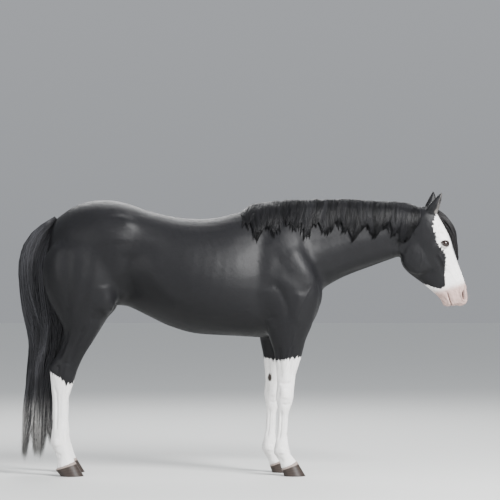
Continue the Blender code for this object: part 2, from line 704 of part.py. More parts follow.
def tail_mesh():
    shapes = [loft(TAIL)]
    for x, z, y, width in TAIL_LOCKS:
        root_x = TAIL_MIDDLE + TAIL_LOCK_SPREAD * (x - TAIL_MIDDLE)
        rows = []
        for t in np.linspace(0, 1, TAIL_LOCK_ROWS):
            mid_x = root_x + (x - root_x) * t
            level = TAIL_LOCK_TOP + (z - TAIL_LOCK_TOP) * t
            half = width / 2 * math.sin(math.pi * (0.2 + 0.8 * t)) + 0.004
            rows.append((mid_x - half, level, mid_x + half, level, half * 0.8, y * t))
        shapes.append(loft(rows, LEFT))
    mesh = joined(mesh_of("tail", shapes), TAIL_GRAIN)
    soften(mesh, crease_rounds=4, smooth_rounds=3)
    return thinned(mesh, TAIL_FACES)


def mane_lock(tree, x, drop, width):
    """A flat tapering lock that lies over the crest and down the right side of the neck."""
    top, _, _, _ = tree.ray_cast(Vector((x, 0.0, 2.0)), Vector((0, 0, -1)))
    route = [Vector((x + 0.004, 0.014, top.z - 0.006)), Vector((x, -0.004, top.z + 0.001))]
    for i in range(1, MANE_STEPS + 1):
        t = i / MANE_STEPS
        z = top.z - 0.010 - (drop - 0.010) * t
        across = x + MANE_SWEEP * t**1.5
        hit, _, _, _ = tree.ray_cast(Vector((across, -1.0, z)), Vector((0, 1, 0)))
        y = min(hit.y, -0.012) if hit else -0.05
        route.append(Vector((across, y, z)))
    turn = np.arange(MANE_RING) * 2 * math.pi / MANE_RING
    rings = []
    for i, place in enumerate(route):
        t = i / (len(route) - 1)
        half = width / 2 * min(1.0, 0.06 + 1.25 * (1 - t) ** 0.55)
        thick = MANE_THICKNESS * (0.35 + 0.65 * (1 - t))
        ahead = route[min(i + 1, len(route) - 1)] - route[max(i - 1, 0)]
        out = Vector((1, 0, 0)).cross(ahead).normalized()
        out = -out if out.y > 0 else out
        out = Vector((0, 0, 1)) if i <= 1 else out
        forward = half * np.cos(turn)[:, None] * np.array((1.0, 0.0, 0.0))
        outward = thick * (0.35 + np.sin(turn))[:, None] * np.array(out)
        rings.append(np.array(place) + forward + outward)
    return capped_tube(rings)


def mane_mesh(tree):
    shapes = []
    spacing = (MANE_END - MANE_START) / (MANE_LOCKS - 1)
    for i in range(MANE_LOCKS):
        x = MANE_START + spacing * i
        drop = MANE_DROP[i % len(MANE_DROP)]
        drop *= 0.75 if i in (0, MANE_LOCKS - 1) else 1.0
        shapes.append(mane_lock(tree, x, drop, spacing * MANE_OVERLAP))
    mesh = joined(mesh_of("mane", shapes), MANE_GRAIN)
    soften(mesh, crease_rounds=2, smooth_rounds=2)
    return mesh_of("mane", [loose_pieces(thinned(mesh, MANE_FACES))[0]])


def swollen(name, mesh, amount, cutters):
    """A copy of the mesh grown outwards, kept as a cutter."""
    grown = mesh.copy()
    set_points(grown, points_of(mesh) + normals_of(mesh) * amount)
    return placed_cutter(name, cutters, grown)


def add_node(name, parts, mesh, finish):
    mesh.name = name
    mesh.materials.clear()
    mesh.materials.append(finish)
    mesh.shade_smooth()
    mesh.set_sharp_from_angle(angle=math.radians(50))
    parts.objects.link(bpy.data.objects.new(name, mesh))


# A point inside each node of the body, by which its piece is found after the cuts.
LABELS = {
    "trunk": (-0.35, 0.0, 1.20),
    "neck": (0.62, 0.0, 1.35),
    "head": (1.12, 0.0, 1.26),
    "ear_right": (1.11, -0.055, 1.575),
    "ear_left": (1.09, 0.055, 1.570),
    "forearm_right": (0.26, -0.13, 0.65),
    "forearm_left": (0.20, 0.13, 0.65),
    "cannon_front_right": (0.24, -0.12, 0.29),
    "cannon_front_left": (0.18, 0.12, 0.29),
    "gaskin_right": (-0.95, -0.14, 0.76),
    "gaskin_left": (-0.96, 0.14, 0.76),
    "cannon_hind_right": (-1.03, -0.13, 0.30),
    "cannon_hind_left": (-1.04, 0.13, 0.30),
}


def main():
    clear_scene()
    parts = collection(NAME)
    cutters = collection("cutters", hidden=True)
    coat = material("short_black_coat", COAT, 0.55)
    white = material("short_white_coat", WHITE, 0.6)
    hair = material("long_black_hair", HAIR, 0.5)
    horn = material("hoof_horn", HORN, 0.45)
    eye = material("eye_surface", EYE, 0.05)

    whole = body_mesh()
    tree = BVHTree.FromPolygons(
        [v.co[:] for v in whole.vertices], [tuple(p.vertices) for p in whole.polygons]
    )
    hair_cutter = swollen("body_under_hair", whole, HAIR_GAP, cutters)
    pieces = loose_pieces(cut_by(whole.copy(), body_cuts(cutters)))
    middles = np.array([(points.max(0) + points.min(0)) / 2 for points, _ in pieces])
    for name, label in LABELS.items():
        piece = pieces[int(np.linalg.norm(middles - label, axis=1).argmin())]
        finish = white if name.startswith("cannon") else coat
        add_node(name, parts, mesh_of(name, [piece]), finish)

    hair_meshes = {
        "tail": tail_mesh(),
        "mane": mane_mesh(tree),
        "forelock": thinned(mesh_of("forelock", [loft(FORELOCK)]), FORELOCK_FACES),
    }
    for name, mesh in hair_meshes.items():
        kept = loose_pieces(cut_by(mesh, [hair_cutter]))[0]
        add_node(name, parts, mesh_of(name, [kept]), hair)

    for word, side in SIDES.items():
        centre = Vector((EYE_CENTRE.x, side * EYE_CENTRE.y, EYE_CENTRE.z))
        add_node(f"eye_{word}", parts, ball(f"eye_{word}", centre, EYE_RADIUS), eye)
        add_node(f"hoof_front_{word}", parts, hoof(side, "fore"), horn)
        add_node(f"hoof_hind_{word}", parts, hoof(side, "hind"), horn)


main()
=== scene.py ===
import math
import bmesh
import bpy
import numpy as np
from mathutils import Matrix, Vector
from mathutils.bvhtree import BVHTree


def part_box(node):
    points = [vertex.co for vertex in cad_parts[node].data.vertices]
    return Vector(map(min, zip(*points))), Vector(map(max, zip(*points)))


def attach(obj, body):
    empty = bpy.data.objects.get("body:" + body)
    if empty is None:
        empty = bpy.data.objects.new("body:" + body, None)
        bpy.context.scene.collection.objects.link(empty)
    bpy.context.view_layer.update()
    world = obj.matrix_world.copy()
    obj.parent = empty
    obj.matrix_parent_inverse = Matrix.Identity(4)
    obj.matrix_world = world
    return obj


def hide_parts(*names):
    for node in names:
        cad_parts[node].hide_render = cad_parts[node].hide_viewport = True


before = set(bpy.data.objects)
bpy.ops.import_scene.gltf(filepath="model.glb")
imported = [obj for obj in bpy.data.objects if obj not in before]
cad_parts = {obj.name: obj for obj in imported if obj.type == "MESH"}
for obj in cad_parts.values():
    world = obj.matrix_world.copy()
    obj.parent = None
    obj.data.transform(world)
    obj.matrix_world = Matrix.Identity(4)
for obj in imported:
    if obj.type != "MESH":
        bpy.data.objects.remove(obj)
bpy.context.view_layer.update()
random = np.random.default_rng(11)
print("frame loaded")

# The horse faces +X and its right side faces -Y. Lengths are in metres, but the tables of points
# that shape it are in millimetres, which metres() turns.
right, left = -1, 1
sides = {"right": right, "left": left}
edgeSpan = 0.04  # distances from a marking's edge are kept this far in all
fullTurn = 2 * math.pi


# Small helpers


def metres(table):
    return np.array(table, float) / 1000


def smooth(value, low, high):
    t = np.clip((value - low) / (high - low), 0, 1)
    return t * t * (3 - 2 * t)


def hump(value, width):
    # 1 at nought, falling away on both sides like a bell
    return np.exp(-((value / width) ** 2))


def unit(vectors):
    return vectors / (np.linalg.norm(vectors, axis=-1, keepdims=True) + 1e-12)


def mixed(first, second, share):
    # rows of colours or vectors that go over from the first to the second as share grows
    share = np.asarray(share)[..., None]
    return first * (1 - share) + second * share


def linear(code):
    # "#rrggbb" as sRGB, to the linear values that the shaders take
    parts = np.array([int(code[i : i + 2], 16) for i in (1, 3, 5)]) / 255
    return np.where(parts <= 0.04045, parts / 12.92, ((parts + 0.055) / 1.055) ** 2.4)


def readArray(items, field, width, kind=float):
    values = np.empty(len(items) * width, kind)
    items.foreach_get(field, values)
    return values.reshape(-1, width)


def pointsOf(mesh):
    return readArray(mesh.vertices, "co", 3)


def setPoints(mesh, points):
    mesh.vertices.foreach_set("co", points.ravel())
    mesh.update()


def normalsOf(mesh):
    return readArray(mesh.vertex_normals, "vector", 3)


def trianglesOf(mesh):
    mesh.calc_loop_triangles()
    return readArray(mesh.loop_triangles, "vertices", 3, np.int32)


def cornersOf(mesh):
    # the vertex that each corner of each face stands on
    return readArray(mesh.loops, "vertex_index", 1, np.int32)[:, 0]


def treeOf(mesh):
    return BVHTree.FromPolygons([Vector(p) for p in pointsOf(mesh)], trianglesOf(mesh).tolist())


def meshFrom(name, points, quads=np.zeros((0, 4), int), triangles=np.zeros((0, 3), int)):
    # a mesh from arrays, which is much quicker than face by face
    mesh = bpy.data.meshes.new(name)
    mesh.vertices.add(len(points))
    mesh.vertices.foreach_set("co", np.asarray(points, float).ravel())
    corners = np.concatenate([quads.ravel(), triangles.ravel()])
    sizes = np.repeat((4, 3), (len(quads), len(triangles)))
    mesh.loops.add(len(corners))
    mesh.loops.foreach_set("vertex_index", corners.astype(np.int32))
    mesh.polygons.add(len(sizes))
    mesh.polygons.foreach_set("loop_start", (np.cumsum(sizes) - sizes).astype(np.int32))
    mesh.update(calc_edges=True)
    return mesh


def ringedMesh(name, points, rings, around):
    # rings of points one after another, with the last two points closing the first and last ring
    first = np.arange(rings - 1)[:, None] * around
    k = np.arange(around)
    after = (k + 1) % around
    quads = np.stack([first + k, first + after, first + after + around, first + k + around], -1)
    last = (rings - 1) * around
    start, end = (np.full(around, len(points) - n) for n in (2, 1))
    triangles = np.concatenate(
        [np.stack([start, after, k], 1), np.stack([end, last + k, last + after], 1)]
    )
    return edited(meshFrom(name, points, quads.reshape(-1, 4), triangles), facesOutward)


def edited(mesh, edit):
    bm = bmesh.new()
    bm.from_mesh(mesh)
    edit(bm)
    bm.to_mesh(mesh)
    bm.free()
    return mesh


def facesOutward(bm):
    bmesh.ops.recalc_face_normals(bm, faces=bm.faces)


def afterModifier(mesh, kind, **settings):
    piece = bpy.data.objects.new("work", mesh)
    bpy.context.scene.collection.objects.link(piece)
    modifier = piece.modifiers.new(kind, kind)
    for key, value in settings.items():
        setattr(modifier, key, value)
    graph = bpy.context.evaluated_depsgraph_get()
    made = bpy.data.meshes.new_from_object(piece.evaluated_get(graph))
    bpy.data.objects.remove(piece)
    bpy.data.meshes.remove(mesh)
    return made


def weldedNodes(*names):
    # the CAD nodes' own shapes in one new mesh, with their corners joined up
    def weld(bm):
        for name in names:
            bm.from_mesh(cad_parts[name].data)
        bmesh.ops.remove_doubles(bm, verts=bm.verts, dist=0.00002)
        facesOutward(bm)

    return edited(bpy.data.meshes.new(names[0]), weld)


def relax(mesh, rounds, pull):
    # each point is drawn towards its neighbours, for as many rounds as it has
    edges = readArray(mesh.edges, "vertices", 2, np.int32)
    points = pointsOf(mesh)
    count = len(points)
    degree = np.bincount(edges.ravel(), minlength=count)[:, None]
    rounds = np.broadcast_to(rounds, count)
    for i in range(int(np.max(rounds))):
        total = np.zeros_like(points)
        for here, there in ((0, 1), (1, 0)):
            for axis in range(3):
                near = points[edges[:, there], axis]
                total[:, axis] += np.bincount(edges[:, here], near, count)
        share = np.clip(rounds - i, 0, 1)
        points = points + pull * share[:, None] * (total / degree - points)
    setPoints(mesh, points)


def setTone(mesh, dark, pale=None, edge=0.0):
    # three layers: "tone", "paleTone" where the coat is white, and the distance inside the white
    # as the alpha of "tone", which the material turns into a crisp hairy edge
    for name, tones in (("tone", dark), ("paleTone", dark if pale is None else pale)):
        colours = np.ones((len(mesh.vertices), 4))
        colours[:, :3] = tones
        colours[:, 3] = np.clip(0.5 + edge / edgeSpan, 0, 1)
        layer = mesh.color_attributes.new(name, "FLOAT_COLOR", "POINT")
        layer.data.foreach_set("color", colours.ravel())


def setMap(mesh, places):
    # places holds one UV for each corner, or one for each vertex
    layer = mesh.uv_layers.new(name="OFBake")
    if len(places) == len(mesh.vertices):
        places = places[cornersOf(mesh)]
    layer.uv.foreach_set("vector", places.ravel())


def addPiece(name, mesh, finish, slot, *nodes):
    mesh.name = name
    mesh.materials.clear()
    mesh.materials.append(finish)
    mesh.shade_smooth()
    piece = bpy.data.objects.new(name, mesh)
    bpy.context.scene.collection.objects.link(piece)
    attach(piece, "root")
    if nodes:
        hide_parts(*nodes)


def ripple(values, seed, length):
    # an even wavering between -1 and 1 along values, with waves about length long
    waves = np.random.default_rng(seed)
    total = 0
    for _ in range(5):
        turn = fullTurn / (length * waves.uniform(0.6, 1.7))
        total = total + np.sin(values * turn + waves.uniform(0, 6.28))
    return total / 3.2


def rounded(line):
    # corners of an open line cut away twice, its ends kept
    line = np.array(line, float)
    for _ in range(2):
        start, end = line[:-1], line[1:]
        cut = np.stack([0.75 * start + 0.25 * end, 0.25 * start + 0.75 * end], 1)
        line = np.concatenate([line[:1], cut.reshape(-1, line.shape[1]), line[-1:]])
    return line


def toPath(spots, path):
    # distance to a path in the XZ plane, share of the way along it, and its side (+ is left)
    path = np.array(path, float)
    steps = np.linalg.norm(np.diff(path, axis=0), axis=1)
    before = np.concatenate([[0], np.cumsum(steps)])
    best = np.full(len(spots), 9.0)
    along, hand = np.zeros((2, len(spots)))
    for i, length in enumerate(steps):
        run = (path[i + 1] - path[i]) / length
        offset = spots - path[i]
        t = np.clip(offset @ run, 0, length)
        away = np.linalg.norm(offset - t[:, None] * run, axis=1)
        nearer = away < best
        best = np.where(nearer, away, best)
        along = np.where(nearer, (before[i] + t) / before[-1], along)
        across = run[0] * offset[:, 1] - run[1] * offset[:, 0]
        hand = np.where(nearer, np.sign(across), hand)
    return best, along, hand


# Materials


def addNode(tree, kind, settings=None, **links):
    # settings go to the node's own values or, where it has none of that name, to its sockets
    node = tree.nodes.new("ShaderNode" + kind)
    for key, value in (settings or {}).items():
        if hasattr(node, key):
            setattr(node, key, value)
        else:
            node.inputs[int(key) if key.isdigit() else key].default_value = value
    for key, source in links.items():
        name = key.replace("_", " ")
        tree.links.new(source, node.inputs[int(name[1:]) if name[1:].isdigit() else name])
    return node


def newMaterial(name, **settings):
    made = bpy.data.materials.new(name)
    made.use_nodes = True
    shader = made.node_tree.nodes["Principled BSDF"]
    for key, value in settings.items():
        shader.inputs[key.replace("_", " ")].default_value = value
    return made, made.node_tree, shader


# Horse hair is keratin, IOR about 1.55. Brushed short hair lies flat, so light slides along it
# in long soft highlights, broken up every few millimetres where hairs bunch. Hairs shade each
# other, so less gloss comes back than from a smooth face.
coatFinish = {
    "roughness": 0.48,
    "gloss": 0.155,
    "relief": 0.0004,
    "shade": 0.26,  # how much bunches differ in colour
    "crumble": 0.6,  # how much finer marks show in the pattern
    "fray": 0.007,  # hairs of one colour reach this far into the other
}
# Long hair is coarser and straighter than the coat: strands differ in shade along their length.
longFinish = {
    "roughness": 0.44, "gloss": 0.18, "relief": 0.0003, "shade": 0.15, "crumble": 0.6, "fray": 0.0
}
# Light hardly gets in between the strands, so what lies under them gets painted shade: matt and
# nearly black.
paintedShadeFinish = {**longFinish, "roughness": 0.85, "gloss": 0.06}
# Horn is keratin too, but solid: a dull satin wall with fine lines running down it.
hornFinish = {
    "roughness": 0.50, "gloss": 0.30, "relief": 0.0002, "shade": 0.25, "crumble": 0.5, "fray": 0.0
}
keratinIor = 1.55


def addTone(tree, fray, wave):
    # the colour kept on the mesh, with the two coat colours parted along a frayed edge
    tone = addNode(tree, "Attribute", {"attribute_name": "tone"})
    pale = addNode(tree, "Attribute", {"attribute_name": "paleTone"}).outputs["Color"]
    settings = {"operation": "MULTIPLY_ADD", "1": 2 * fray / edgeSpan}
    wavering = addNode(tree, "Math", settings, _0=wave, _2=tone.outputs["Alpha"]).outputs[0]
    middle = 0.5 + fray / edgeSpan
    ends = {"From Min": middle - 0.02, "From Max": middle + 0.02}
    share = addNode(tree, "MapRange", ends, Value=wavering).outputs[0]
    settings = {"data_type": "RGBA"}
    return addNode(tree, "Mix", settings, _0=share, _6=tone.outputs["Color"], _7=pale).outputs[2]


def keratin(name, finish, bunch, coordinates):
    # bunch holds the size of a bunch of hairs, or of a line in horn, along the coordinates
    made, tree, shader = newMaterial(
        name, Roughness=finish["roughness"], IOR=keratinIor, Specular_IOR_Level=finish["gloss"]
    )
    place = addNode(tree, "TexCoord").outputs[coordinates]
    sized = addNode(tree, "Mapping", {"Scale": tuple(1 / s for s in bunch)}, Vector=place)
    pattern = {"Scale": 1.0, "Detail": 3.0, "Roughness": finish["crumble"]}
    bunches = addNode(tree, "TexNoise", pattern, Vector=sized.outputs[0]).outputs[0]
    least, most = 1 - finish["shade"], 1 + finish["shade"]
    ends = {"From Min": 0.3, "From Max": 0.7, "To Min": least, "To Max": most}
    lift = addNode(tree, "MapRange", ends, Value=bunches).outputs[0]
    tone = addTone(tree, finish["fray"], bunches)
    colour = addNode(tree, "VectorMath", {"operation": "SCALE"}, Vector=tone, Scale=lift)
    tree.links.new(colour.outputs[0], shader.inputs["Base Color"])
    bump = addNode(tree, "Bump", {"Strength": 1.0, "Distance": finish["relief"]}, Height=bunches)
    tree.links.new(bump.outputs[0], shader.inputs["Normal"])
    return made


# On the map of the trunk, 1.6 m runs over 0.62 of its width and 2.2 m round over 0.5 of its
# height. There a bunch is 35 mm long and 4.5 mm wide; it is finer on the head and legs.
coatBunch = (0.035 * 0.62 / 1.6, 0.0045 * 0.5 / 2.2, 1.0)
strandBunch = (0.0020, 0.0020, 0.050)
shortHair = keratin("shortHorseHair", coatFinish, coatBunch, "UV")
# The tufts have the same hair, but their own edges already break up the light.
tuftHair = keratin("shortHorseHairTufts", {**coatFinish, "relief": 0.00025}, coatBunch, "UV")
longHair = keratin("longHorseHair", longFinish, strandBunch, "Object")
paintedShadeHair = keratin("deepHorseHair", paintedShadeFinish, strandBunch, "Object")
hoofHorn = keratin("hoofHorn", hornFinish, (0.0022, 0.0022, 0.030), "Object")


# Markings: colours of hair and skin at any place on the horse, with painted shade where the coat
# faces downwards and deep in the nostrils and mouth

markings = {
    "black": "#161618",
    # painted shade: the black coat is darker where it faces downwards
    "blackPaintedShade": "#131315",  # under the belly and inside the legs
    "white": "#eeecea",
    # painted shade: the white is darker where it faces downwards
    "whitePaintedShade": "#d5d2cf",
    "pink": "#c4a095",
    "pinkGrey": "#8f7a74",
    "rim": "#1b1716",  # bare skin at the eyelids
    # painted shade: the dark deep in the nostrils and along the crease of the mouth
    "inside": "#1d1512",  # inside nostrils and mouth
    "earInside": "#8f8a86",
    "chestnut": "#3b3430",
    "jagLength": 0.020,
    "jag": 0.010,
    # edge of the white face, seen from the side, from the ear down and back under the jaw
    "faceEdge": metres((
        (1150, 1560), (1109, 1492), (1097, 1463), (1091, 1423), (1093, 1400), (1109, 1380),
        (1110, 1348), (1123, 1318), (1152, 1287), (1169, 1250), (1164, 1204), (1161, 1146),
        (1167, 1088), (1143, 1066), (1109, 1071), (1060, 1090),
    )),
    # height of the white on each leg: at the back X and at the front X, seen from the side
    "foreRight": ((0.170, 0.655), (0.337, 0.683)),
    "foreLeft": ((0.107, 0.672), (0.240, 0.640)),
    "hind": ((-1.100, 0.598), (-0.985, 0.530)),
}
shifts = {"fore": -0.066, "hind": -0.012}  # the left feet stand this far behind the right ones


def onForehand(points):
    # true on the front half of the horse
    return points[:, 0] > -0.4


def legShift(points):
    # how far the left legs are set back at each point
    fade = smooth(1.05 - points[:, 2], 0, 0.35)
    reach = np.where(onForehand(points), shifts["fore"], shifts["hind"])
    return np.where(points[:, 1] > 0, reach, 0.0) * fade


def onHeadShare(points):
    return smooth(points[:, 0] - 0.93 + 0.33 * (1.30 - points[:, 2]), -0.02, 0.06)


def onEar(points):
    return (points[:, 2] - 1.515 > 0.4 * (1.09 - points[:, 0])) & (onHeadShare(points) > 0.5)


def onLegShare(points):
    top = np.where(onForehand(points), 0.80, 0.90)
    return 1 - smooth(points[:, 2], top - 0.16, top)


def distanceTo(points, spot):
    return np.linalg.norm(points - spot, axis=1)


eyes = {}
for word, side in sides.items():
    # the eye looks out sideways and a little forwards, and across runs to its inner corner
    low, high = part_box(f"eye_{word}")
    out = unit(np.array((0.30, side * 0.945, 0.10)))
    ahead = np.array((1.0, 0.0, -0.10))
    across = unit(ahead - out * np.dot(ahead, out))
    eyes[side] = {
        "middle": np.array((low + high) / 2),
        "radius": (high.z - low.z) / 2,
        "out": out,
        "across": across,
        "up": unit(np.cross(across, out) * side),
    }

lidShape = {
    "half": 0.0285,  # half the length of the opening, measured over the eyeball
    "upper": 0.0132,
    "lower": 0.0172,
    "curve": 1.75,  # the outline's power: 2 is an ellipse, and less is more pointed
    "forward": 0.0030,  # the lower lid is deepest this far in front of the middle
    "level": 0.0025,
    "thickness": 0.0021,
    "rim": 0.0036,  # width of the dark bare edge
    "fold": 0.0085,  # the first crease above the upper lid
    "whiteRing": 0.0095,  # the hair is white this far round the opening
}


def eyeMeasure(points, side):
    # distance outside the lids' opening, height over its middle, and turn away from the eye's
    # own direction. All are measured over the eyeball, so that moving a point in or out of the
    # eye leaves them as they are.
    eye = eyes[side]
    offset = points - eye["middle"]
    ahead = offset @ eye["out"]
    turn = np.arccos(np.clip(ahead / np.linalg.norm(offset, axis=1), -1, 1))
    flat = unit(offset - ahead[:, None] * eye["out"]) * (turn * eye["radius"])[:, None]
    a = flat @ eye["across"]
    b = flat @ eye["up"] - lidShape["level"]
    tall = np.where(b > 0, lidShape["upper"], lidShape["lower"])
    aside = a - lidShape["forward"] * smooth(-b, 0, 0.010)
    curve = lidShape["curve"]
    ring = (np.abs(aside / lidShape["half"]) ** curve + np.abs(b / tall) ** curve) ** (1 / curve)
    return np.hypot(a, b) * (1 - 1 / np.maximum(ring, 1e-3)), b, turn


nostril = {
    # middle line of the opening and its half width, on the left side, from its narrow top
    "line": metres((
        (1291, 22, 1079, 1.5), (1277, 40, 1066, 5.2), (1267, 48, 1043, 9.2),
        (1270, 44, 1016, 6.8), (1276, 38, 1001, 2.2),
    )),
    "depth": 0.027,
    "inward": np.array((-0.62, -0.45, 0.55)),
    "rim": 0.0034,
}


def nostrilMeasure(points, side):
    # distance outside the nostril's opening, seen straight along the way in
    inward = unit(nostril["inward"] * (1, side, 1))
    line = rounded(nostril["line"] * (1, side, 1, 1))
    halves, line = line[:, 3], line[:, :3]
    near = distanceTo(points, line[len(line) // 2]) < 0.060
    line = line - (line @ inward)[:, None] * inward
    spots = points[near]
    spots = spots - (spots @ inward)[:, None] * inward
    best = np.full(len(points), 9.0)
    for start, end, half, nextHalf in zip(line[:-1], line[1:], halves[:-1], halves[1:]):
        run = end - start
        share = np.clip((spots - start) @ run / (run @ run), 0, 1)
        away = distanceTo(spots, start + share[:, None] * run)
        best[near] = np.minimum(best[near], away - half - (nextHalf - half) * share)
    return best


mouth = {
    "line": metres(((1178, 1042), (1184, 1020), (1192, 995), (1201, 972), (1206, 950))),
    "width": 0.0034,
    "depth": 0.0060,
}


def inWhiteFace(points):
    # distance inside the white of the face, with a wavering edge
    away, along, hand = toPath(points[:, [0, 2]], markings["faceEdge"])
    waver = ripple(along * 0.75 + points[:, 1] * 0.4, 3, markings["jagLength"])
    inside = away * hand + 0.7 * markings["jag"] * waver
    poll = smooth(points[:, 2], 1.475, 1.500)  # the white stops below the ears
    onFace = 20 * (points[:, 0] - 1.02 - 0.083 * poll)
    face = (onHeadShare(points) > 0.5) & ~onEar(points)
    return np.where(face, np.minimum(inside, onFace), -1.0)


def inWhiteLeg(points):
    # distance below the top edge of the white, which has its own height on each leg
    x, y, z = points.T
    inside = np.full(len(points), -1.0)
    for kind, side, table in (
        ("fore", right, "foreRight"),
        ("fore", left, "foreLeft"),
        ("hind", right, "hind"),
        ("hind", left, "hind"),
    ):
        mine = (onForehand(points) == (kind == "fore")) & ((y < 0) == (side == right))
        (backX, backZ), (frontX, frontZ) = markings[table]
        place = x if table == "foreLeft" else x - legShift(points)
        edge = backZ + (frontZ - backZ) * np.clip((place - backX) / (frontX - backX), 0, 1)
        turn = np.arctan2(y - side * 0.125, place - (backX + frontX) / 2) * 0.055
        edge = edge + markings["jag"] * ripple(turn, 23 + side * 3, markings["jagLength"])
        if kind == "hind":
            edge = edge - 0.020 * hump(place + 1.004, 0.010)  # the edge dips here
        inside = np.where(mine, edge - z, inside)
    return inside


def toneAt(points, normals):
    # colour where the coat is dark, colour where it is white, and distance inside the white
    x, y, z = points.T
    # painted shade: black and white are both darker where the surface faces downwards
    under = smooth(-normals[:, 2], 0.1, 0.9)
    dark = mixed(linear(markings["black"]), linear(markings["blackPaintedShade"]), under)
    pale = mixed(linear(markings["white"]), linear(markings["whitePaintedShade"]), under)
    face = inWhiteFace(points)
    edge = np.maximum(face, inWhiteLeg(points))

    # bare pink muzzle, mottled with grey
    reach = smooth(1.092 - z + 0.32 * (x - 1.22), -0.020, 0.030)
    reach = np.maximum(reach, smooth(1.030 - z, -0.01, 0.02)) * (face > -0.01)
    mottle = 0.5 + 0.5 * ripple(x * 0.6 + z, 8, 0.02) * ripple(y + z * 0.4, 9, 0.017)
    bare = mixed(linear(markings["pinkGrey"]), linear(markings["pink"]), mottle)
    pale = mixed(pale, bare, 0.92 * reach)

    def tint(near, share, name):
        for tones in (dark, pale):
            tones[near] = mixed(tones[near], linear(markings[name]), share)

    for side in (right, left):
        mine = y * side > 0
        near = np.where(mine & (distanceTo(points, eyes[side]["middle"]) < 0.06))[0]
        outside, _, _ = eyeMeasure(points[near], side)
        edge[near] = np.maximum(edge[near], lidShape["whiteRing"] - outside)
        rim = lidShape["rim"]
        tint(near, 0.55 * (1 - smooth(outside, rim, rim * 2.6)), "pinkGrey")
        tint(near, 1 - smooth(outside, rim * 0.75, rim * 1.25), "rim")
        # the nostril, greyer round it
        near = np.where(mine & (x > 1.22) & (z < 1.11))[0]
        gap = nostrilMeasure(points[near], side)
        tint(near, 0.5 * (1 - smooth(gap, 0.002, 0.016)), "pinkGrey")
        # painted shade: dark deep inside the nostril
        tint(near, 1 - smooth(gap, -0.0040, 0.0002), "inside")
        # the pale patch at the foot of the ear's front edge, and the inside of the ear
        near = np.where(mine & (z > 1.48) & (x > 1.02))[0]
        low = distanceTo(points[near][:, [0, 2]], (1.112, 1.508))
        tint(near, 0.5 * (1 - smooth(low, 0.006, 0.016)), "earInside")
        facing = smooth(normals[near] @ (0.90, side * 0.35, 0.0), 0.45, 0.85)
        tint(near, 0.30 * onEar(points[near]) * facing, "earInside")
    # painted shade: dark along the crease between the lips
    near = np.where((x > 1.16) & (z < 1.06))[0]
    away, _, _ = toPath(points[near][:, [0, 2]], mouth["line"])
    tint(near, 0.85 * (1 - smooth(away, mouth["width"] * 0.4, mouth["width"] * 1.2)), "inside")
    # chestnuts, the dark horny patches inside the legs
    for foreX, side in ((0.224, right), (0.158, left)):
        near = np.where((y * side > 0) & (normals[:, 1] * side < -0.3) & (z < 0.7))[0]
        for place, size in (((foreX, 0.553), (0.012, 0.024)), ((-1.03, 0.500), (0.007, 0.016))):
            spot = np.linalg.norm((points[near][:, [0, 2]] - place) / size, axis=1)
            tint(near, 1 - smooth(spot, 0.85, 1.05), "chestnut")
    return dark, pale, edge


# Skin: one surface made from the flesh nodes' own shapes, then sculpted

skinShape = {
    "flesh": (
        ["trunk", "neck", "head", "ear_right", "ear_left"]
        + [f"{part}_{word}" for part in ("forearm", "gaskin") for word in sides]
        + [f"cannon_{end}_{word}" for end in ("front", "hind") for word in sides]
    ),
    "swell": 0.0010,  # closes the thin gaps between nodes before they are joined
    "grain": 0.0056,
    "headMiddle": np.array((1.10, 0.0, 1.28)),
    "headReach": 0.36,
    "headZoom": 2.0,
    # rounds of smoothing
    "bodyRounds": 46,
    "legRounds": 9,
    "headRounds": 12,
    "earRounds": 5,
    # the skin lies this far inside the coat's outline
    "depth": 0.0030,
    "faceDepth": 0.0012,
    "legDepth": 0.0018,
    "earDepth": 0.0006,
    "triangles": 190000,
}


def magnified(points, back=False):
    # the head swollen about its middle, so that one grain gives it finer detail
    middle, reach, zoom = (skinShape[k] for k in ("headMiddle", "headReach", "headZoom"))
    offset = points - middle
    far = np.linalg.norm(offset, axis=1) + 1e-9
    if back:
        new = np.where(far < reach * zoom, far / zoom, far - reach * zoom + reach)
    else:
        new = np.where(far < reach, far * zoom, far - reach + reach * zoom)
    return middle + offset * (new / far)[:, None]


def joinedSkin():
    mesh = weldedNodes(*skinShape["flesh"])
    setPoints(mesh, pointsOf(mesh) + normalsOf(mesh) * skinShape["swell"])

    def addEyeballs(bm):
        # joined in too, so that there is skin over them to form the lids from
        for eye in eyes.values():
            made = bmesh.ops.create_uvsphere(
                bm, u_segments=32, v_segments=20, radius=eye["radius"] * 0.99
            )
            bmesh.ops.translate(bm, verts=made["verts"], vec=Vector(eye["middle"]))

    edited(mesh, addEyeballs)
    setPoints(mesh, magnified(pointsOf(mesh)))
    mesh = afterModifier(mesh, "REMESH", mode="VOXEL", voxel_size=skinShape["grain"])
    setPoints(mesh, magnified(pointsOf(mesh), back=True))
    return mesh


def refineFace(bm):
    # finer grain round the eyes, nostrils and lips
    edges = {}
    for face in bm.faces:
        middle = face.calc_center_median()
        if middle.x < 1.08:
            continue
        eye = eyes[left if middle.y > 0 else right]["middle"]
        onMuzzle = middle.z < 1.10 and middle.x > 1.235 or middle.z < 1.05 and middle.x > 1.15
        if onMuzzle or (middle - Vector(eye)).length < 0.044:
            edges.update(dict.fromkeys(face.edges))
    bmesh.ops.subdivide_edges(bm, edges=list(edges), cuts=1, use_grid_fill=True)


def evenOut(mesh):
    points = pointsOf(mesh)
    head, leg, ear = onHeadShare(points), onLegShare(points), onEar(points)
    rounds = (1 - head) * (1 - leg) * skinShape["bodyRounds"]
    rounds = rounds + leg * skinShape["legRounds"] + head * skinShape["headRounds"]
    relax(mesh, np.where(ear, skinShape["earRounds"], rounds), 0.6)
    return ear


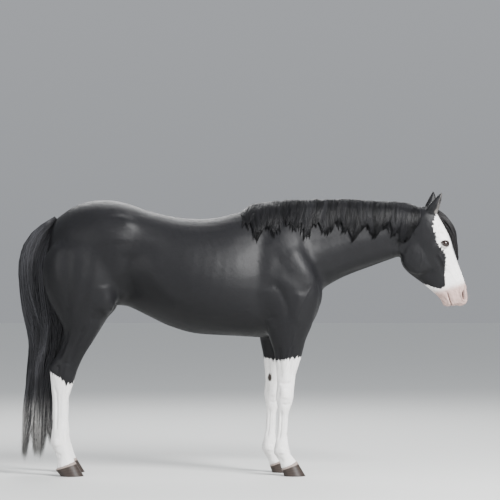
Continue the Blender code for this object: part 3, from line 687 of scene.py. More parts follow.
# Forms under the skin, drawn on its right and left sides as seen from the side. For each, in
# millimetres: half width, height, then its path in X and Z. A ridge stands out, a groove sinks
# in, and a step stands out on the left of its path as it runs. The lines are the veins that
# stand up under the fine skin of a short-coated horse, and the skin's folds.
forms = {
    "step": {
        "shoulderEdge": (24, -7, (290, 1330), (352, 1262), (400, 1205), (435, 1146), (455, 1075)),
        "tricepsTop": (26, -2.8, (150, 1150), (230, 1135), (310, 1090), (350, 1020)),
        "cheekEdge": (13, 5, (975, 1140), (1010, 1143), (1055, 1165), (1090, 1195)),
    },
    "ridge": {
        "bladeSpine": (30, 3.6, (185, 1440), (250, 1330), (330, 1200), (385, 1110)),
        "tricepsBulge": (34, 5, (140, 1080), (185, 990), (200, 900)),
        "armFront": (28, 4.5, (330, 1060), (318, 960), (305, 860)),
        "elbowPoint": (22, 4, (158, 905), (165, 865), (178, 830)),
        "barrelEdge": (52, 7, (-555, 1290), (-510, 1175), (-435, 1060), (-314, 956)),
        "flankFold": (22, 5, (-660, 1060), (-700, 990), (-750, 950)),
        "hipPoint": (55, 5, (-715, 1500), (-700, 1430), (-690, 1320)),
        "hipBand": (50, 3.6, (-860, 1475), (-790, 1420), (-745, 1320)),
        "thighBack": (34, 5, (-1035, 1330), (-1050, 1200), (-1045, 1080)),
        "stifle": (40, 5.5, (-785, 1100), (-775, 1010), (-795, 930)),
        "gaskinFront": (20, 4.5, (-800, 880), (-850, 790), (-895, 715)),
        "hockBone": (20, 4.5, (-1000, 650), (-1010, 600), (-1020, 540)),
        "hindFetlock": (18, 5, (-1062, 215), (-1060, 190), (-1055, 170)),
        "kneeBone": (20, 5.5, (232, 500), (245, 470), (240, 440)),
        "foreFetlock": (18, 5, (232, 165), (228, 145), (226, 125)),
        "windpipe": (20, 3, (900, 1236), (760, 1178), (600, 1120), (480, 1085)),
        "neckStrap": (32, 3.5, (930, 1330), (760, 1270), (580, 1205), (430, 1150)),
        "wing": (20, 3.5, (925, 1430), (905, 1385), (895, 1340)),
        "facialCrest": (7.5, 3.4, (1118, 1275), (1140, 1240), (1163, 1195), (1180, 1165)),
        "noseBone": (8, 1.8, (1195, 1320), (1212, 1250), (1232, 1180), (1254, 1120)),
        "browBone": (8, 5, (1118, 1352), (1142, 1368), (1168, 1360), (1182, 1342)),
        "templeRidge": (12, 3.5, (1100, 1470), (1112, 1420), (1112, 1375)),
        "lipRoll": (11, 2.2, (1200, 1030), (1212, 1000), (1222, 975)),
    },
    "groove": {
        "behindArm": (42, 6.6, (150, 1440), (110, 1310), (88, 1160), (84, 1031), (112, 876)),
        "bladeBack": (30, 3, (165, 1330), (215, 1220), (290, 1130)),
        "tricepsSplit": (18, 4.5, (170, 1120), (222, 1050), (256, 970), (258, 880)),
        "flankHollow": (48, 10, (-640, 1290), (-645, 1175), (-635, 1071), (-600, 1002)),
        "thighSplit": (20, 5, (-985, 1340), (-990, 1220), (-985, 1100), (-985, 973), (-990, 860)),
        "thighMiddle": (28, 4, (-850, 1300), (-868, 1160), (-900, 1020), (-925, 900)),
        "belowStifle": (22, 3, (-770, 930), (-820, 905), (-870, 900)),
        "gaskinSplit": (14, 4, (-890, 870), (-930, 790), (-965, 700), (-985, 640)),
        "heelTendon": (12, 7.5, (-985, 860), (-1005, 780), (-1030, 710), (-1055, 655)),
        "hockFront": (10, 4, (-1050, 640), (-1048, 600), (-1060, 560)),
        "hindTendon": (6.5, 8, (-1075, 530), (-1058, 470), (-1056, 357), (-1062, 250)),
        "hindSplint": (5, 3, (-1040, 480), (-1037, 380), (-1040, 290)),
        "hindPastern": (7, 3.8, (-1080, 140), (-1050, 125), (-1030, 115)),
        "foreTendon": (6, 7.5, (222, 385), (221, 330), (219, 265), (205, 195)),
        "foreSplint": (5, 2.8, (236, 370), (234, 300), (232, 240)),
        "forearmBack": (11, 5.6, (205, 760), (212, 690), (217, 600), (214, 540)),
        "forearmFront": (10, 4.8, (285, 760), (275, 690), (268, 600), (262, 540)),
        "kneeTop": (10, 3.4, (205, 535), (240, 528), (285, 535)),
        "kneeBack": (8, 4, (212, 520), (208, 480), (206, 440)),
        "kneeFoot": (8, 3.4, (275, 415), (245, 408), (222, 412)),
        "forePastern": (7, 3.8, (190, 115), (215, 98), (235, 90)),
        "jugular": (20, 5.5, (960, 1262), (880, 1235), (760, 1205), (620, 1160), (500, 1125)),
        "neckUpper": (34, 3.5, (880, 1440), (700, 1400), (520, 1350), (380, 1300)),
        "crest": (24, 3, (950, 1500), (700, 1500), (450, 1495), (250, 1480)),
        "parotid": (16, 5, (988, 1400), (953, 1351), (925, 1300), (925, 1255)),
        "underCrest": (11, 2.6, (1100, 1262), (1122, 1228), (1148, 1180)),
        "besideNose": (15, 3, (1178, 1285), (1198, 1220), (1222, 1150)),
        "noseNotch": (10, 2.6, (1262, 1120), (1250, 1090), (1243, 1062)),
        "browHollow": (8.5, 10, (1130, 1438), (1132, 1390), (1164, 1372)),
        "tearLine": (6, 1.6, (1182, 1312), (1192, 1290), (1198, 1262)),
        "chinFold": (8, 3, (1130, 1030), (1150, 1018), (1166, 998)),
        "lipCorner": (5, 2.2, (1158, 1052), (1172, 1046), (1184, 1036)),
    },
    "line": {
        "faceVein": (3.4, 1.6, (1072, 1150), (1110, 1180), (1148, 1215), (1160, 1262)),
        "noseVein": (2.8, 1.2, (1148, 1215), (1185, 1180), (1215, 1130), (1240, 1095)),
        "cheekVein": (3.2, 1, (1010, 1180), (1030, 1240), (1022, 1300)),
        "bellyVein": (7, 1.2, (60, 960), (-60, 925), (-200, 918), (-350, 950)),
        "armVein": (4.2, 2.2, (300, 860), (290, 780), (262, 700), (250, 620)),
        "shoulderVein": (5, 1.8, (405, 1100), (360, 1030), (330, 950), (300, 860)),
        "gaskinVein": (4.2, 2.2, (-850, 900), (-885, 820), (-935, 740), (-980, 680)),
        "throatFold": (6, -2.2, (915, 1370), (893, 1310), (900, 1250)),
        "throatFoldTwo": (7, -1.8, (880, 1350), (862, 1295), (866, 1245)),
        "elbowFold": (6, -3, (118, 900), (140, 860), (150, 815)),
        "flankLine": (8, -2, (-760, 948), (-735, 955), (-715, 975)),
        "foreHeel": (3.5, -1.6, (205, 96), (222, 86), (240, 80)),
        "hindHeel": (3.5, -1.6, (-1070, 110), (-1050, 100), (-1030, 93)),
        "muzzleLineOne": (3, -1.1, (1226, 1070), (1236, 1050), (1238, 1028)),
        "muzzleLineTwo": (3, -0.9, (1214, 1066), (1224, 1045), (1226, 1022)),
        "chinLine": (3, -1, (1150, 1000), (1160, 986), (1176, 977)),
        "browLineOne": (2.2, -1.4, (1128, 1350), (1148, 1362), (1172, 1354)),
        "browLineTwo": (2.2, -1, (1132, 1358), (1150, 1372), (1174, 1364)),
    },
}


def drawForms(points, normals):
    # how far each point of the skin is lifted
    x, y, z = points.T
    lift = np.zeros(len(points))
    spots = np.stack([x - legShift(points), z], 1)
    # a form drawn from the side fades where the surface turns away to the front, top or inside
    outward = np.sign(y) * normals[:, 1]
    facing = smooth(outward, 0.05, 0.45)
    inner = smooth(-outward, 0.05, 0.45) * onLegShare(points)
    share = np.maximum(facing, 0.8 * inner)
    for kind, group in forms.items():
        for width, height, *path in group.values():
            width, height, path = width / 1000, height / 1000, metres(path)
            reach = width * 4
            inBox = (spots > path.min(0) - reach) & (spots < path.max(0) + reach)
            near = np.where(inBox.all(1))[0]
            away, along, hand = toPath(spots[near], path)
            ends = smooth(along, 0, 0.18) * smooth(1 - along, 0, 0.18)
            if kind == "step":
                shape = np.tanh(away * hand / width) * hump(away, 3.2 * width)
            else:
                shape = hump(away, width) * (-1 if kind == "groove" else 1)
            lift[near] += height * shape * ends * share[near]
    # ribs, faint, on the barrel
    barrel = smooth(x, -0.52, -0.40) * smooth(-x, -0.02, 0.08)
    barrel = barrel * smooth(z, 0.90, 1.02) * smooth(-z, -1.36, -1.22)
    bowed = x + 0.22 * (z - 1.1) ** 2 + 0.20 * (1.1 - z)
    lift += 0.00025 * barrel * facing * np.sin(bowed * fullTurn / 0.062)
    # the hollow over the breastbone is filled and runs down between the breast muscles
    breast = smooth(x, 0.30, 0.36) * smooth(normals[:, 0], 0.1, 0.5)
    lift += 0.012 * breast * hump(y, 0.030) * hump(z - 1.000, 0.030)
    between = smooth(z, 0.80, 0.86) * smooth(-z, -1.02, -0.97)
    lift -= 0.006 * breast * hump(y, 0.012) * between
    # skin is never quite even
    uneven = ripple(x * 1.3 + z * 0.7, 5, 0.05) * ripple(z * 1.2 - y, 6, 0.06)
    return lift + 0.0005 * uneven * (1 - onHeadShare(points))


def drawFace(points, normals):
    out = points.copy()
    for side in (right, left):
        mine = points[:, 1] * side > 0
        # nostril: a comma-shaped opening with a raised wing behind it
        near = np.where(mine & (points[:, 0] > 1.215) & (points[:, 2] < 1.12))[0]
        gap = nostrilMeasure(points[near], side)
        back = smooth(1.290 - points[near, 0] + 0.2 * (points[near, 2] - 1.04), 0.0, 0.025)
        wing = 0.0036 * hump(gap - 0.0050, nostril["rim"]) * (0.35 + 0.65 * back)
        sink = nostril["depth"] * smooth(-gap, -0.0010, 0.0058)
        out[near] += normals[near] * wing[:, None]
        out[near] += unit(nostril["inward"] * (1, side, 1)) * sink[:, None]
        # lids: a rim that lies on the eyeball, round an opening with its own outline
        eye = eyes[side]
        near = np.where(mine & (distanceTo(points, eye["middle"]) < 0.070))[0]
        outside, b, turn = eyeMeasure(points[near], side)
        offset = points[near] - eye["middle"]
        reach = np.linalg.norm(offset, axis=1)
        radius = eye["radius"]
        upper, lower = smooth(b, 0, 0.006), smooth(-b, 0, 0.006)
        lid = radius + 0.0007 + (lidShape["thickness"] - 0.0007) * smooth(outside, 0.0, 0.0026)
        lid = lid + 0.0008 * smooth(outside, 0.006, 0.014) * (b > 0)
        # creases over and under the eye, and the fold over the upper one
        lid = lid - 0.0018 * hump(outside - lidShape["fold"], 0.0015) * upper
        lid = lid - 0.0010 * hump(outside - 0.0068, 0.0014) * lower
        lid = lid + 0.0012 * hump(outside - 0.0130, 0.0030) * upper
        behind = radius - 0.0032
        wanted = behind + (lid - behind) * smooth(outside, -0.0012, 0.0002)
        hold = (1 - smooth(outside, 0.0080, 0.0260)) * (1 - smooth(turn, 1.5, 2.0))
        new = reach + (wanted - reach) * hold
        out[near] = eye["middle"] + offset / reach[:, None] * new[:, None]
    # mouth: a groove between the lips, running round from one corner to the other
    near = np.where((points[:, 0] > 1.15) & (points[:, 2] < 1.06))[0]
    away, along, _ = toPath(points[near][:, [0, 2]], mouth["line"])
    groove = hump(away, mouth["width"]) * smooth(along, 0.0, 0.10)
    lips = hump(away - 0.0085, 0.0060) * smooth(along, 0.05, 0.3)
    out[near] += normals[near] * (0.0016 * lips - mouth["depth"] * groove)[:, None]
    return out


def skinDepth(points, ear):
    head = onHeadShare(points)
    low = 1 - smooth(points[:, 2], 0.45, 0.75)
    depth = skinShape["depth"] * (1 - head) + skinShape["faceDepth"] * head
    depth = depth * (1 - low) + skinShape["legDepth"] * low
    return np.where(ear, skinShape["earDepth"], depth) + skinShape["swell"]


def makeSkin():
    mesh = edited(joinedSkin(), refineFace)
    ear = evenOut(mesh)
    points = pointsOf(mesh)
    points = points - normalsOf(mesh) * skinDepth(points, ear)[:, None]
    setPoints(mesh, points)
    normals = normalsOf(mesh)
    points = points + normals * drawForms(points, normals)[:, None]
    setPoints(mesh, points)
    points = drawFace(points, normalsOf(mesh))
    share = skinShape["triangles"] / len(trianglesOf(mesh))
    setPoints(mesh, magnified(points))
    mesh = afterModifier(mesh, "DECIMATE", ratio=min(1.0, share))
    setPoints(mesh, magnified(pointsOf(mesh), back=True))
    return mesh


skinMesh = makeSkin()
skinPoints, skinNormals = pointsOf(skinMesh), normalsOf(skinMesh)
setTone(skinMesh, *toneAt(skinPoints, skinNormals))
print("skin sculpted and coloured:", len(skinPoints), "points")

# The unwrap: each region of the skin rolled out round its own middle line

legMiddles = {
    "fore": metres((
        (265, 135, 820), (247, 120, 520), (230, 120, 300), (224, 120, 170), (262, 123, 50)
    )),
    "hind": metres((
        (-910, 150, 950), (-972, 138, 700), (-1026, 130, 590), (-1042, 130, 300),
        (-1042, 132, 190), (-1008, 136, 60),
    )),
}
regions = {
    # middle line, the way away from the seam, and the cell of the map: left, foot, width, height
    "trunk": (((-1.15, 0, 1.18), (0.45, 0, 1.15)), (0, 0, 1), (0.01, 0.01, 0.62, 0.50)),
    "neck": (((0.25, 0, 1.22), (1.02, 0, 1.40)), (0, 0, 1), (0.01, 0.56, 0.34, 0.40)),
    "head": (((1.00, 0, 1.47), (1.26, 0, 0.95)), (1, 0, 0.4), (0.37, 0.56, 0.42, 0.40)),
    "earRight": (
        ((1.078, -0.042, 1.47), (1.144, -0.058, 1.63)), (1, 0, 0), (0.81, 0.56, 0.16, 0.18)
    ),
    "earLeft": (
        ((1.062, 0.042, 1.47), (1.104, 0.058, 1.63)), (1, 0, 0), (0.81, 0.78, 0.16, 0.18)
    ),
}
for kind, foot in (("fore", 0.01), ("hind", 0.28)):
    for word, side, cellX in (("Right", right, 0.66), ("Left", left, 0.83)):
        line = legMiddles[kind] * (1, side, 1)
        if side == left:
            line = line + (shifts[kind], 0, 0)
        regions[kind + word] = (line, (1, 0, 0), (cellX, foot, 0.15, 0.25))
regionNames = list(regions)


def beforeWithers(points):
    # distance in front of the slanting line between trunk and neck
    return points[:, 0] - 0.100 - (1.575 - points[:, 2]) * 0.679


def regionOf(points):
    x, y, z = points.T
    found = np.zeros(len(points), int)
    found[beforeWithers(points) > 0] = regionNames.index("neck")
    found[onHeadShare(points) > 0.5] = regionNames.index("head")
    for word, side in (("Right", y < 0), ("Left", y >= 0)):
        found[onEar(points) & side] = regionNames.index("ear" + word)
        for kind, own, top in (("fore", x > -0.4, 0.80), ("hind", x <= -0.4, 0.93)):
            found[own & (z < top) & side] = regionNames.index(kind + word)
    return found


def rolledOut(points, found):
    # share of the way along the region's middle line, and share of the turn round it
    shares = np.zeros((len(points), 2))
    for i, (line, up, _) in enumerate(regions.values()):
        mine = found == i
        line = np.array(line, float)
        run = line[-1] - line[0]
        length = np.linalg.norm(run)
        run = run / length
        along = (points[mine] - line[0]) @ run
        marks = (line - line[0]) @ run
        middle = np.stack([np.interp(along, marks, line[:, k]) for k in range(3)], 1)
        up = unit(np.array(up, float) - run * np.dot(up, run))
        offset = points[mine] - middle
        turn = np.arctan2(offset @ np.cross(run, up), offset @ up) / fullTurn + 0.5
        shares[mine] = np.stack([np.clip(along / length, -0.03, 1.03), turn], 1)
    return shares


def inCell(shares, found):
    cells = np.array([cell for _, _, cell in regions.values()])[found]
    return cells[:, :2] + (0.03 + 0.93 * shares) * cells[:, 2:]


def unwrapSkin(mesh):
    middles = readArray(mesh.polygons, "center", 3)
    totals = readArray(mesh.polygons, "loop_total", 1, np.int32)[:, 0]
    face = np.repeat(np.arange(len(middles)), totals)
    found = regionOf(middles)
    shares = rolledOut(pointsOf(mesh)[cornersOf(mesh)], found[face])
    centre = rolledOut(middles, found)[face, 1]
    # a corner over the seam from its face's centre is carried on past the edge
    turn = shares[:, 1]
    turn = turn + (turn < centre - 0.5) - (turn > centre + 0.5)
    shares[:, 1] = np.clip(turn, -0.03, 1.03)
    setMap(mesh, inCell(shares, found[face]))


unwrapSkin(skinMesh)
addPiece("skin", skinMesh, shortHair, "coat", *skinShape["flesh"])
skinTree = treeOf(skinMesh)
print("skin done")


# Strands: thin closed tapering locks of hair, each with a three-sided section


def strandPiece(name, paths, across, out, form, shape, roots, shades=None, tint=None):
    # paths, across and out are (strand, place along it, xyz), form the thickness along each.
    # roots holds each strand's own place on the map, 0 to 1, and shades how light it is.
    count, steps = paths.shape[:2]
    half, thick = (np.broadcast_to(shape[k] * form, (count, steps)) for k in ("half", "thick"))
    half, thick = half[:, :-1, None], thick[:, :-1, None]
    body, across, out = paths[:, :-1], across[:, :-1], out[:, :-1]
    rings = np.stack([body - across * half, body + across * half, body + out * thick], 2)
    points = np.concatenate([rings.reshape(count, -1, 3), paths[:, -1:]], 1)
    points[..., 2] = np.maximum(points[..., 2], 0.035)  # clear of the floor
    each = points.shape[1]
    ring = np.arange(steps - 2)[:, None] * 3
    quads = []
    for a, b in ((0, 2), (2, 1), (1, 0)):
        quads.append(np.hstack([ring + a, ring + b, ring + b + 3, ring + a + 3]))
    last, tip = (steps - 2) * 3, each - 1
    ends = ((0, 1, 2), (last, last + 2, tip), (last + 2, last + 1, tip), (last + 1, last, tip))
    start = (np.arange(count) * each)[:, None, None]
    quads = (np.concatenate(quads) + start).reshape(-1, 4)
    triangles = (np.array(ends) + start).reshape(-1, 3)
    points = points.reshape(-1, 3)
    mesh = meshFrom(name, points, quads, triangles)
    place = np.append(np.repeat(np.arange(steps - 1), 3), steps - 1) / (steps - 1)
    place = np.tile(place, count)
    tones = linear(shape["tone"])
    if shades is not None:
        # hairs differ in shade lock by lock and strand by strand, and painted shade makes them
        # darker at the root
        shade = np.repeat(shades * random.uniform(0.55, 1.45, count), each)
        rootPaintedShade = 0.6 * (1 - smooth(place, 0.0, 0.12))
        tones = mixed(tones * shade[:, None], linear(shape["deep"]), rootPaintedShade)
    if tint:
        tones = tint(tones, points, shades, each)
    setTone(mesh, tones)
    beside = np.tile(np.append(np.tile((-1.0, 1.0, 0.0), steps - 1), 0.0), count)
    u = np.repeat(roots, each) * 0.98 + 0.01 + beside * 0.0015
    setMap(mesh, np.stack([u, 0.01 + 0.98 * place], 1))
    addPiece(name, mesh, longHair, "long_hair")


def core(node, shape, draw=None, paleAt=None):
    # what shows deep between the strands: the hair mass's own shape, smoothed and drawn in, coloured
    # nearly black as painted shade
    mesh = afterModifier(weldedNodes(node), "REMESH", mode="VOXEL", voxel_size=shape["coreGrain"])
    relax(mesh, 6, 0.5)
    points = pointsOf(mesh) - normalsOf(mesh) * shape["coreDepth"]
    if draw:
        points = draw(points)
    setPoints(mesh, points)
    tone = linear(shape["deep"])
    setTone(mesh, mixed(tone, linear(shape["tips"]), paleAt(points)) if paleAt else tone)
    low, high = points.min(0), points.max(0)
    wide = 0 if high[0] - low[0] > high[2] - low[2] else 2
    share = 0.01 + 0.98 * (points - low) / (high - low)
    setMap(mesh, np.stack([share[:, wide], 0.7 * share[:, 2 - wide] + 0.3 * share[:, 1]], 1))
    addPiece(f"{node}Core", mesh, paintedShadeHair, "long_hair", node)


maneShape = {
    "tips": 18,
    "between": (0.065, 0.972),  # where the first and last lock are rooted along the crest
    "strandsPerLock": 44,
    "locksPerTip": 6,
    "steps": 15,
    "half": 0.0013,
    "thick": 0.0011,
    "sweep": 0.035,  # tips hang this far behind their roots
    "thinEnds": 0.070,
    "wave": 0.011,
    "middle": 0.20,  # turns round the crest are measured from this far under it
    "tone": "#131315",
    # painted shade: nearly black, for hair that lies under other hair
    "deep": "#060607",
    "coreGrain": 0.0065,
    "coreDepth": 0.0040,
}
tailShape = {
    "pieces": ("tailStrandsOver", "tailStrandsUnder"),
    "locks": 60,
    "strandsPerLock": 40,
    "steps": 20,
    "half": 0.0016,
    "thick": 0.0013,
    "wave": 0.011,
    "starts": 0.14,  # the locks start over this share of its length
    "tone": "#363639",
    # painted shade: nearly black, for hair that lies under other hair
    "deep": "#0a0a0b",
    "tips": "#d6d4d1",
    "coreGrain": 0.008,
    "coreDepth": 0.0080,
    "paleFrom": 0.43,  # height at which the tail starts to turn grey
    "gather": 0.36,  # height at which the locks part
    # back X, back Z, front X, front Z and half width of the tail from its root down
    "sections": metres((
        (-1085, 1488, -1040, 1440, 22), (-1150, 1447, -1070, 1380, 36),
        (-1222, 1390, -1085, 1310, 47), (-1268, 1320, -1090, 1240, 56),
        (-1289, 1235, -1090, 1170, 63), (-1290, 1150, -1085, 1100, 68),
        (-1278, 1045, -1070, 1015, 72), (-1262, 940, -1040, 925, 73),
        (-1236, 840, -1020, 830, 70), (-1220, 730, -1050, 715, 64),
        (-1233, 620, -1085, 610, 58), (-1238, 500, -1095, 490, 56),
        (-1256, 390, -1098, 380, 58), (-1272, 280, -1105, 280, 53),
        (-1262, 200, -1130, 210, 36), (-1240, 150, -1180, 155, 14),
    )),
    # foot of each hanging lock from the back: X, Y, Z, and where the share of each one ends
    "feet": metres(((-1258, -12, 85), (-1196, 22, 100), (-1165, -26, 92), (-1102, 16, 165))),
    "lockShares": (0.34, 0.60, 0.80),
}
forelockShape = {
    "pieces": ("forelockStrands",),
    "locks": 26,
    "strandsPerLock": 26,
    "steps": 18,
    "half": 0.0013,
    "thick": 0.0010,
    "wave": 0.003,
    "starts": 0.03,
    "tone": "#1c1b1c",
    # painted shade: nearly black, for hair that lies under other hair
    "deep": "#080808",
    "coreGrain": 0.004,
    "coreDepth": 0.0045,
    "sections": metres((
        (1110, 1535, 1098, 1510, 20), (1170, 1492, 1135, 1455, 34),
        (1209, 1442, 1170, 1410, 35), (1229, 1394, 1196, 1368, 30),
        (1237, 1325, 1215, 1308, 22), (1243, 1270, 1232, 1262, 12),
        (1242, 1232, 1238, 1230, 4),
    )),
}


def maneGuides(neck):
    # the height of the crest at any X, the outside of the hair as a function of X and turn
    # round the crest, and the height of the hair's lower edge at each of a row of spots
    mass = treeOf(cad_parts["mane"].data)
    low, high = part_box("mane")
    spots = np.arange(low.x + 0.004, high.x - 0.004, 0.004)

    def lowest(x):
        for z in np.arange(low.z - 0.002, high.z, 0.003):
            if mass.ray_cast(Vector((x, -1, z)), Vector((0, 1, 0)))[0]:
                return z
        return high.z

    feet = np.array([lowest(x) for x in spots])
    hits = [mass.ray_cast(Vector((x, 0.0, 2.0)), Vector((0, 0, -1)))[0] for x in spots]
    tops = np.array([hit.z if hit else np.nan for hit in hits])
    good = ~np.isnan(tops)

    def topAt(x):
        return np.interp(x, spots[good], tops[good])

    # from a little left of the top down the right side
    turns = np.linspace(-0.20, 2.0, 70)
    outside = np.zeros((len(spots), len(turns), 3))
    for i, x in enumerate(spots):
        middle = Vector((x, 0.0, topAt(x) - maneShape["middle"]))
        # the hair thins out to nothing much at the poll and the withers
        full = 0.15 + 0.85 * smooth(min(x - low.x, high.x - x), 0.0, maneShape["thinEnds"])
        for j, turn in enumerate(turns):
            way = Vector((0, -math.sin(turn), math.cos(turn)))
            hits = [tree.ray_cast(middle + way * 0.6, -way)[0] for tree in (neck, mass)]
            base, top = [(hit - middle).length if hit else 0.05 for hit in hits]
            outside[i, j] = middle + way * (base + max(top - base, 0) * full)

    def lay(x, turn):
        i = np.clip((x - spots[0]) / (spots[1] - spots[0]), 0, len(spots) - 1.001)
        j = np.clip((turn - turns[0]) / (turns[1] - turns[0]), 0, len(turns) - 1.001)
        i0, j0 = i.astype(int), j.astype(int)
        near = mixed(outside[i0, j0], outside[i0, j0 + 1], j - j0)
        far = mixed(outside[i0 + 1, j0], outside[i0 + 1, j0 + 1], j - j0)
        return mixed(near, far, i - i0)

    return topAt, lay, spots, feet


def makeMane():
    shape = maneShape
    topAt, lay, spots, feet = maneGuides(skinTree)
    low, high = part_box("mane")
    rootSpots = low.x + (high.x - low.x) * np.linspace(*shape["between"], shape["tips"])
    tipX = rootSpots - shape["sweep"]
    tipZ = np.array([feet[np.abs(spots - x) < 0.016].min() for x in tipX])
    # each tip of the outline is made up of several thinner locks
    tip = np.repeat(np.arange(shape["tips"]), shape["locksPerTip"])
    k = np.tile(np.arange(shape["locksPerTip"]) - (shape["locksPerTip"] - 1) / 2, shape["tips"])
    locks = len(tip)
    rootX = rootSpots[tip] + k * 0.016 + random.uniform(-0.006, 0.006, locks)
    endX = tipX[tip] + k * 0.0075 + random.uniform(-0.004, 0.004, locks)
    endZ = tipZ[tip] - 0.006 + np.abs(k) * 0.011 + random.uniform(0.0, 0.016, locks)
    endTurn = []
    for x, z in zip(endX, endZ):
        hit = skinTree.ray_cast(Vector((x, -1, z)), Vector((0, 1, 0)))[0]
        endTurn.append(math.atan2(-hit.y if hit else 0.1, z - topAt(x) + shape["middle"]))
    lock = np.repeat(np.arange(locks), shape["strandsPerLock"])
    count = len(lock)
    phase = random.uniform(0, 6.28, locks)[lock][:, None]
    over = random.uniform(-0.0020, 0.0034, locks)[lock] + random.uniform(-0.0010, 0.0010, count)
    side = np.clip(random.normal(0, 0.55, count), -1.3, 1.3)
    start = np.clip(rootX[lock] + side * 0.015, low.x + 0.006, high.x - 0.004)[:, None]
    t = np.linspace(0, 1, shape["steps"]) ** 1.5
    reach = t * random.uniform(0.78, 1.0, count)[:, None]
    x = start + (endX[lock][:, None] - start) * reach**1.35
    x = x + side[:, None] * 0.006 * np.sin(math.pi * np.minimum(reach * 1.1, 1))
    x = x + shape["wave"] * smooth(reach, 0, 0.7) * np.sin(phase + 6.5 * reach)
    turn = -0.11 + (np.array(endTurn)[lock][:, None] + 0.11) * reach
    paths = lay(x, turn)
    ahead = unit(np.gradient(paths, axis=1))
    down = unit(lay(x, turn + 0.01) - lay(x, turn - 0.01))
    outs = unit(np.cross(down, lay(x - 0.003, turn) - lay(x + 0.003, turn)))
    crest = np.stack([paths[..., 0], 0 * x, topAt(paths[..., 0]) - shape["middle"]], -1)
    outs *= np.sign((outs * (paths - crest)).sum(-1, keepdims=True))
    for _ in range(3):
        outs[:, 1:-1] = unit(0.5 * outs[:, 1:-1] + 0.25 * (outs[:, :-2] + outs[:, 2:]))
    lift = over[:, None] + 0.002 * np.sin(math.pi * reach)
    paths = paths + outs * lift[..., None]
    paths[:, 0] -= outs[:, 0] * 0.004  # tucked under the crest
    paths[:, 6:-1] = 0.5 * paths[:, 6:-1] + 0.25 * (paths[:, 5:-2] + paths[:, 7:])
    across = unit(np.cross(ahead, outs))
    outs = unit(np.cross(across, ahead))
    form = (0.45 + 0.55 * smooth(t, 0, 0.2)) * (1 - 0.75 * t**1.5)
    shades = random.uniform(0.45, 1.45, locks)[lock]
    roots = np.clip((start[:, 0] - low.x) / (high.x - low.x), 0, 1)
    for i, name in enumerate(("maneStrandsOver", "maneStrandsUnder")):
        own = (part[i::2] for part in (paths, across, outs))
        strandPiece(name, *own, form, shape, roots[i::2], shades[i::2])

    def draw(points):
        # the core ends higher than the strands, keeping its depth under the hair's outside
        x, y, z = points.T
        turn = np.arctan2(-y, z - topAt(x) + shape["middle"])
        points = points + lay(x, turn * (1 - 0.33 * smooth(turn, 0.25, 0.7))) - lay(x, turn)
        middle = (low.x + high.x) / 2
        points[:, 0] = middle + (points[:, 0] - middle) * 0.90
        return points

    core("mane", shape, draw)
    print("mane done:", count, "strands")


def bundle(shape, tint=None):
    # strands running down a tube of sections, in locks that share a wave and a shade
    backX, backZ, frontX, frontZ, wide = shape["sections"].T
    centre = np.stack([(backX + frontX) / 2, 0 * wide, (backZ + frontZ) / 2], 1)
    depth = np.stack([(backX - frontX) / 2, 0 * wide, (backZ - frontZ) / 2], 1)
    marks = np.append(0, np.cumsum(np.linalg.norm(np.diff(centre, axis=0), axis=1)))
    marks = marks / marks[-1]

    def at(values, share):
        return np.stack([np.interp(share, marks, column) for column in values.T], -1)

    steps, locks = shape["steps"], shape["locks"]
    lock = np.repeat(np.arange(locks), shape["strandsPerLock"])
    count = len(lock)
    # each lock starts a golden angle further round than the last, so that they spread evenly
    lockTurn = (np.arange(locks) + random.uniform(-0.3, 0.3, locks)) * 2.39996
    lockRim = np.where(np.arange(locks) % 4 == 0, 0.74, 0.95)
    phase = random.uniform(0, 6.28, locks)[lock][:, None]
    lockStart = shape["starts"] * random.uniform(0, 1, locks) ** 2
    shades = random.uniform(0.6, 1.35, locks)[lock]
    turn = lockTurn[lock] + random.normal(0, 0.16, count)
    rim = np.minimum(lockRim[lock] + random.normal(0, 0.05, count), 1.0)
    start = np.maximum(lockStart[lock] + random.uniform(-0.02, 0.02, count), 0.0)
    finish = random.uniform(0.88, 1.0, count)
    t = np.linspace(0, 1, steps)
    share = start[:, None] + (finish - start)[:, None] * t
    twist = turn[:, None] + 0.5 * np.sin(phase + 3 * share) * (1 - share)
    # strands draw in where they start, so that the root of each is buried
    reach = rim[:, None] * (0.86 + 0.14 * smooth(t, 0, 0.05))
    out = np.cos(twist)[..., None] * at(depth, share)
    out = out + np.sin(twist)[..., None] * at(wide[:, None], share) * (0.0, 1.0, 0.0)
    wave = shape["wave"] * np.sin(phase + 9 * share) * smooth(share, 0.1, 0.5)
    paths = at(centre, share) + out * reach[..., None]
    paths[..., 0] += wave
    paths[..., 1] += 0.6 * wave * np.cos(phase + 5 * share)
    if "feet" in shape:
        paths = parted(shape, paths)
    else:
        end = centre[-1] + random.normal(0, 1, (count, 3)) * (0.003, 0.003, 0.006)
        paths = mixed(paths, end[:, None], 0.5 * smooth(t, 0.80, 1.0))
    paths[:, 1:-1] = 0.5 * paths[:, 1:-1] + 0.25 * (paths[:, :-2] + paths[:, 2:])
    ahead = unit(np.gradient(paths, axis=1))
    across = unit(np.cross(ahead, unit(out)))
    up = unit(np.cross(across, ahead))
    form = (0.35 + 0.65 * smooth(t, 0, 0.1)) * (1 - 0.75 * t**3)
    roots = np.arctan2(np.sin(turn), np.cos(turn)) / fullTurn + 0.5
    for i, name in enumerate(shape["pieces"]):
        own = (part[i :: len(shape["pieces"])] for part in (paths, across, up))
        mine = slice(i, None, len(shape["pieces"]))
        strandPiece(name, *own, form, shape, roots[mine], shades[mine], tint)


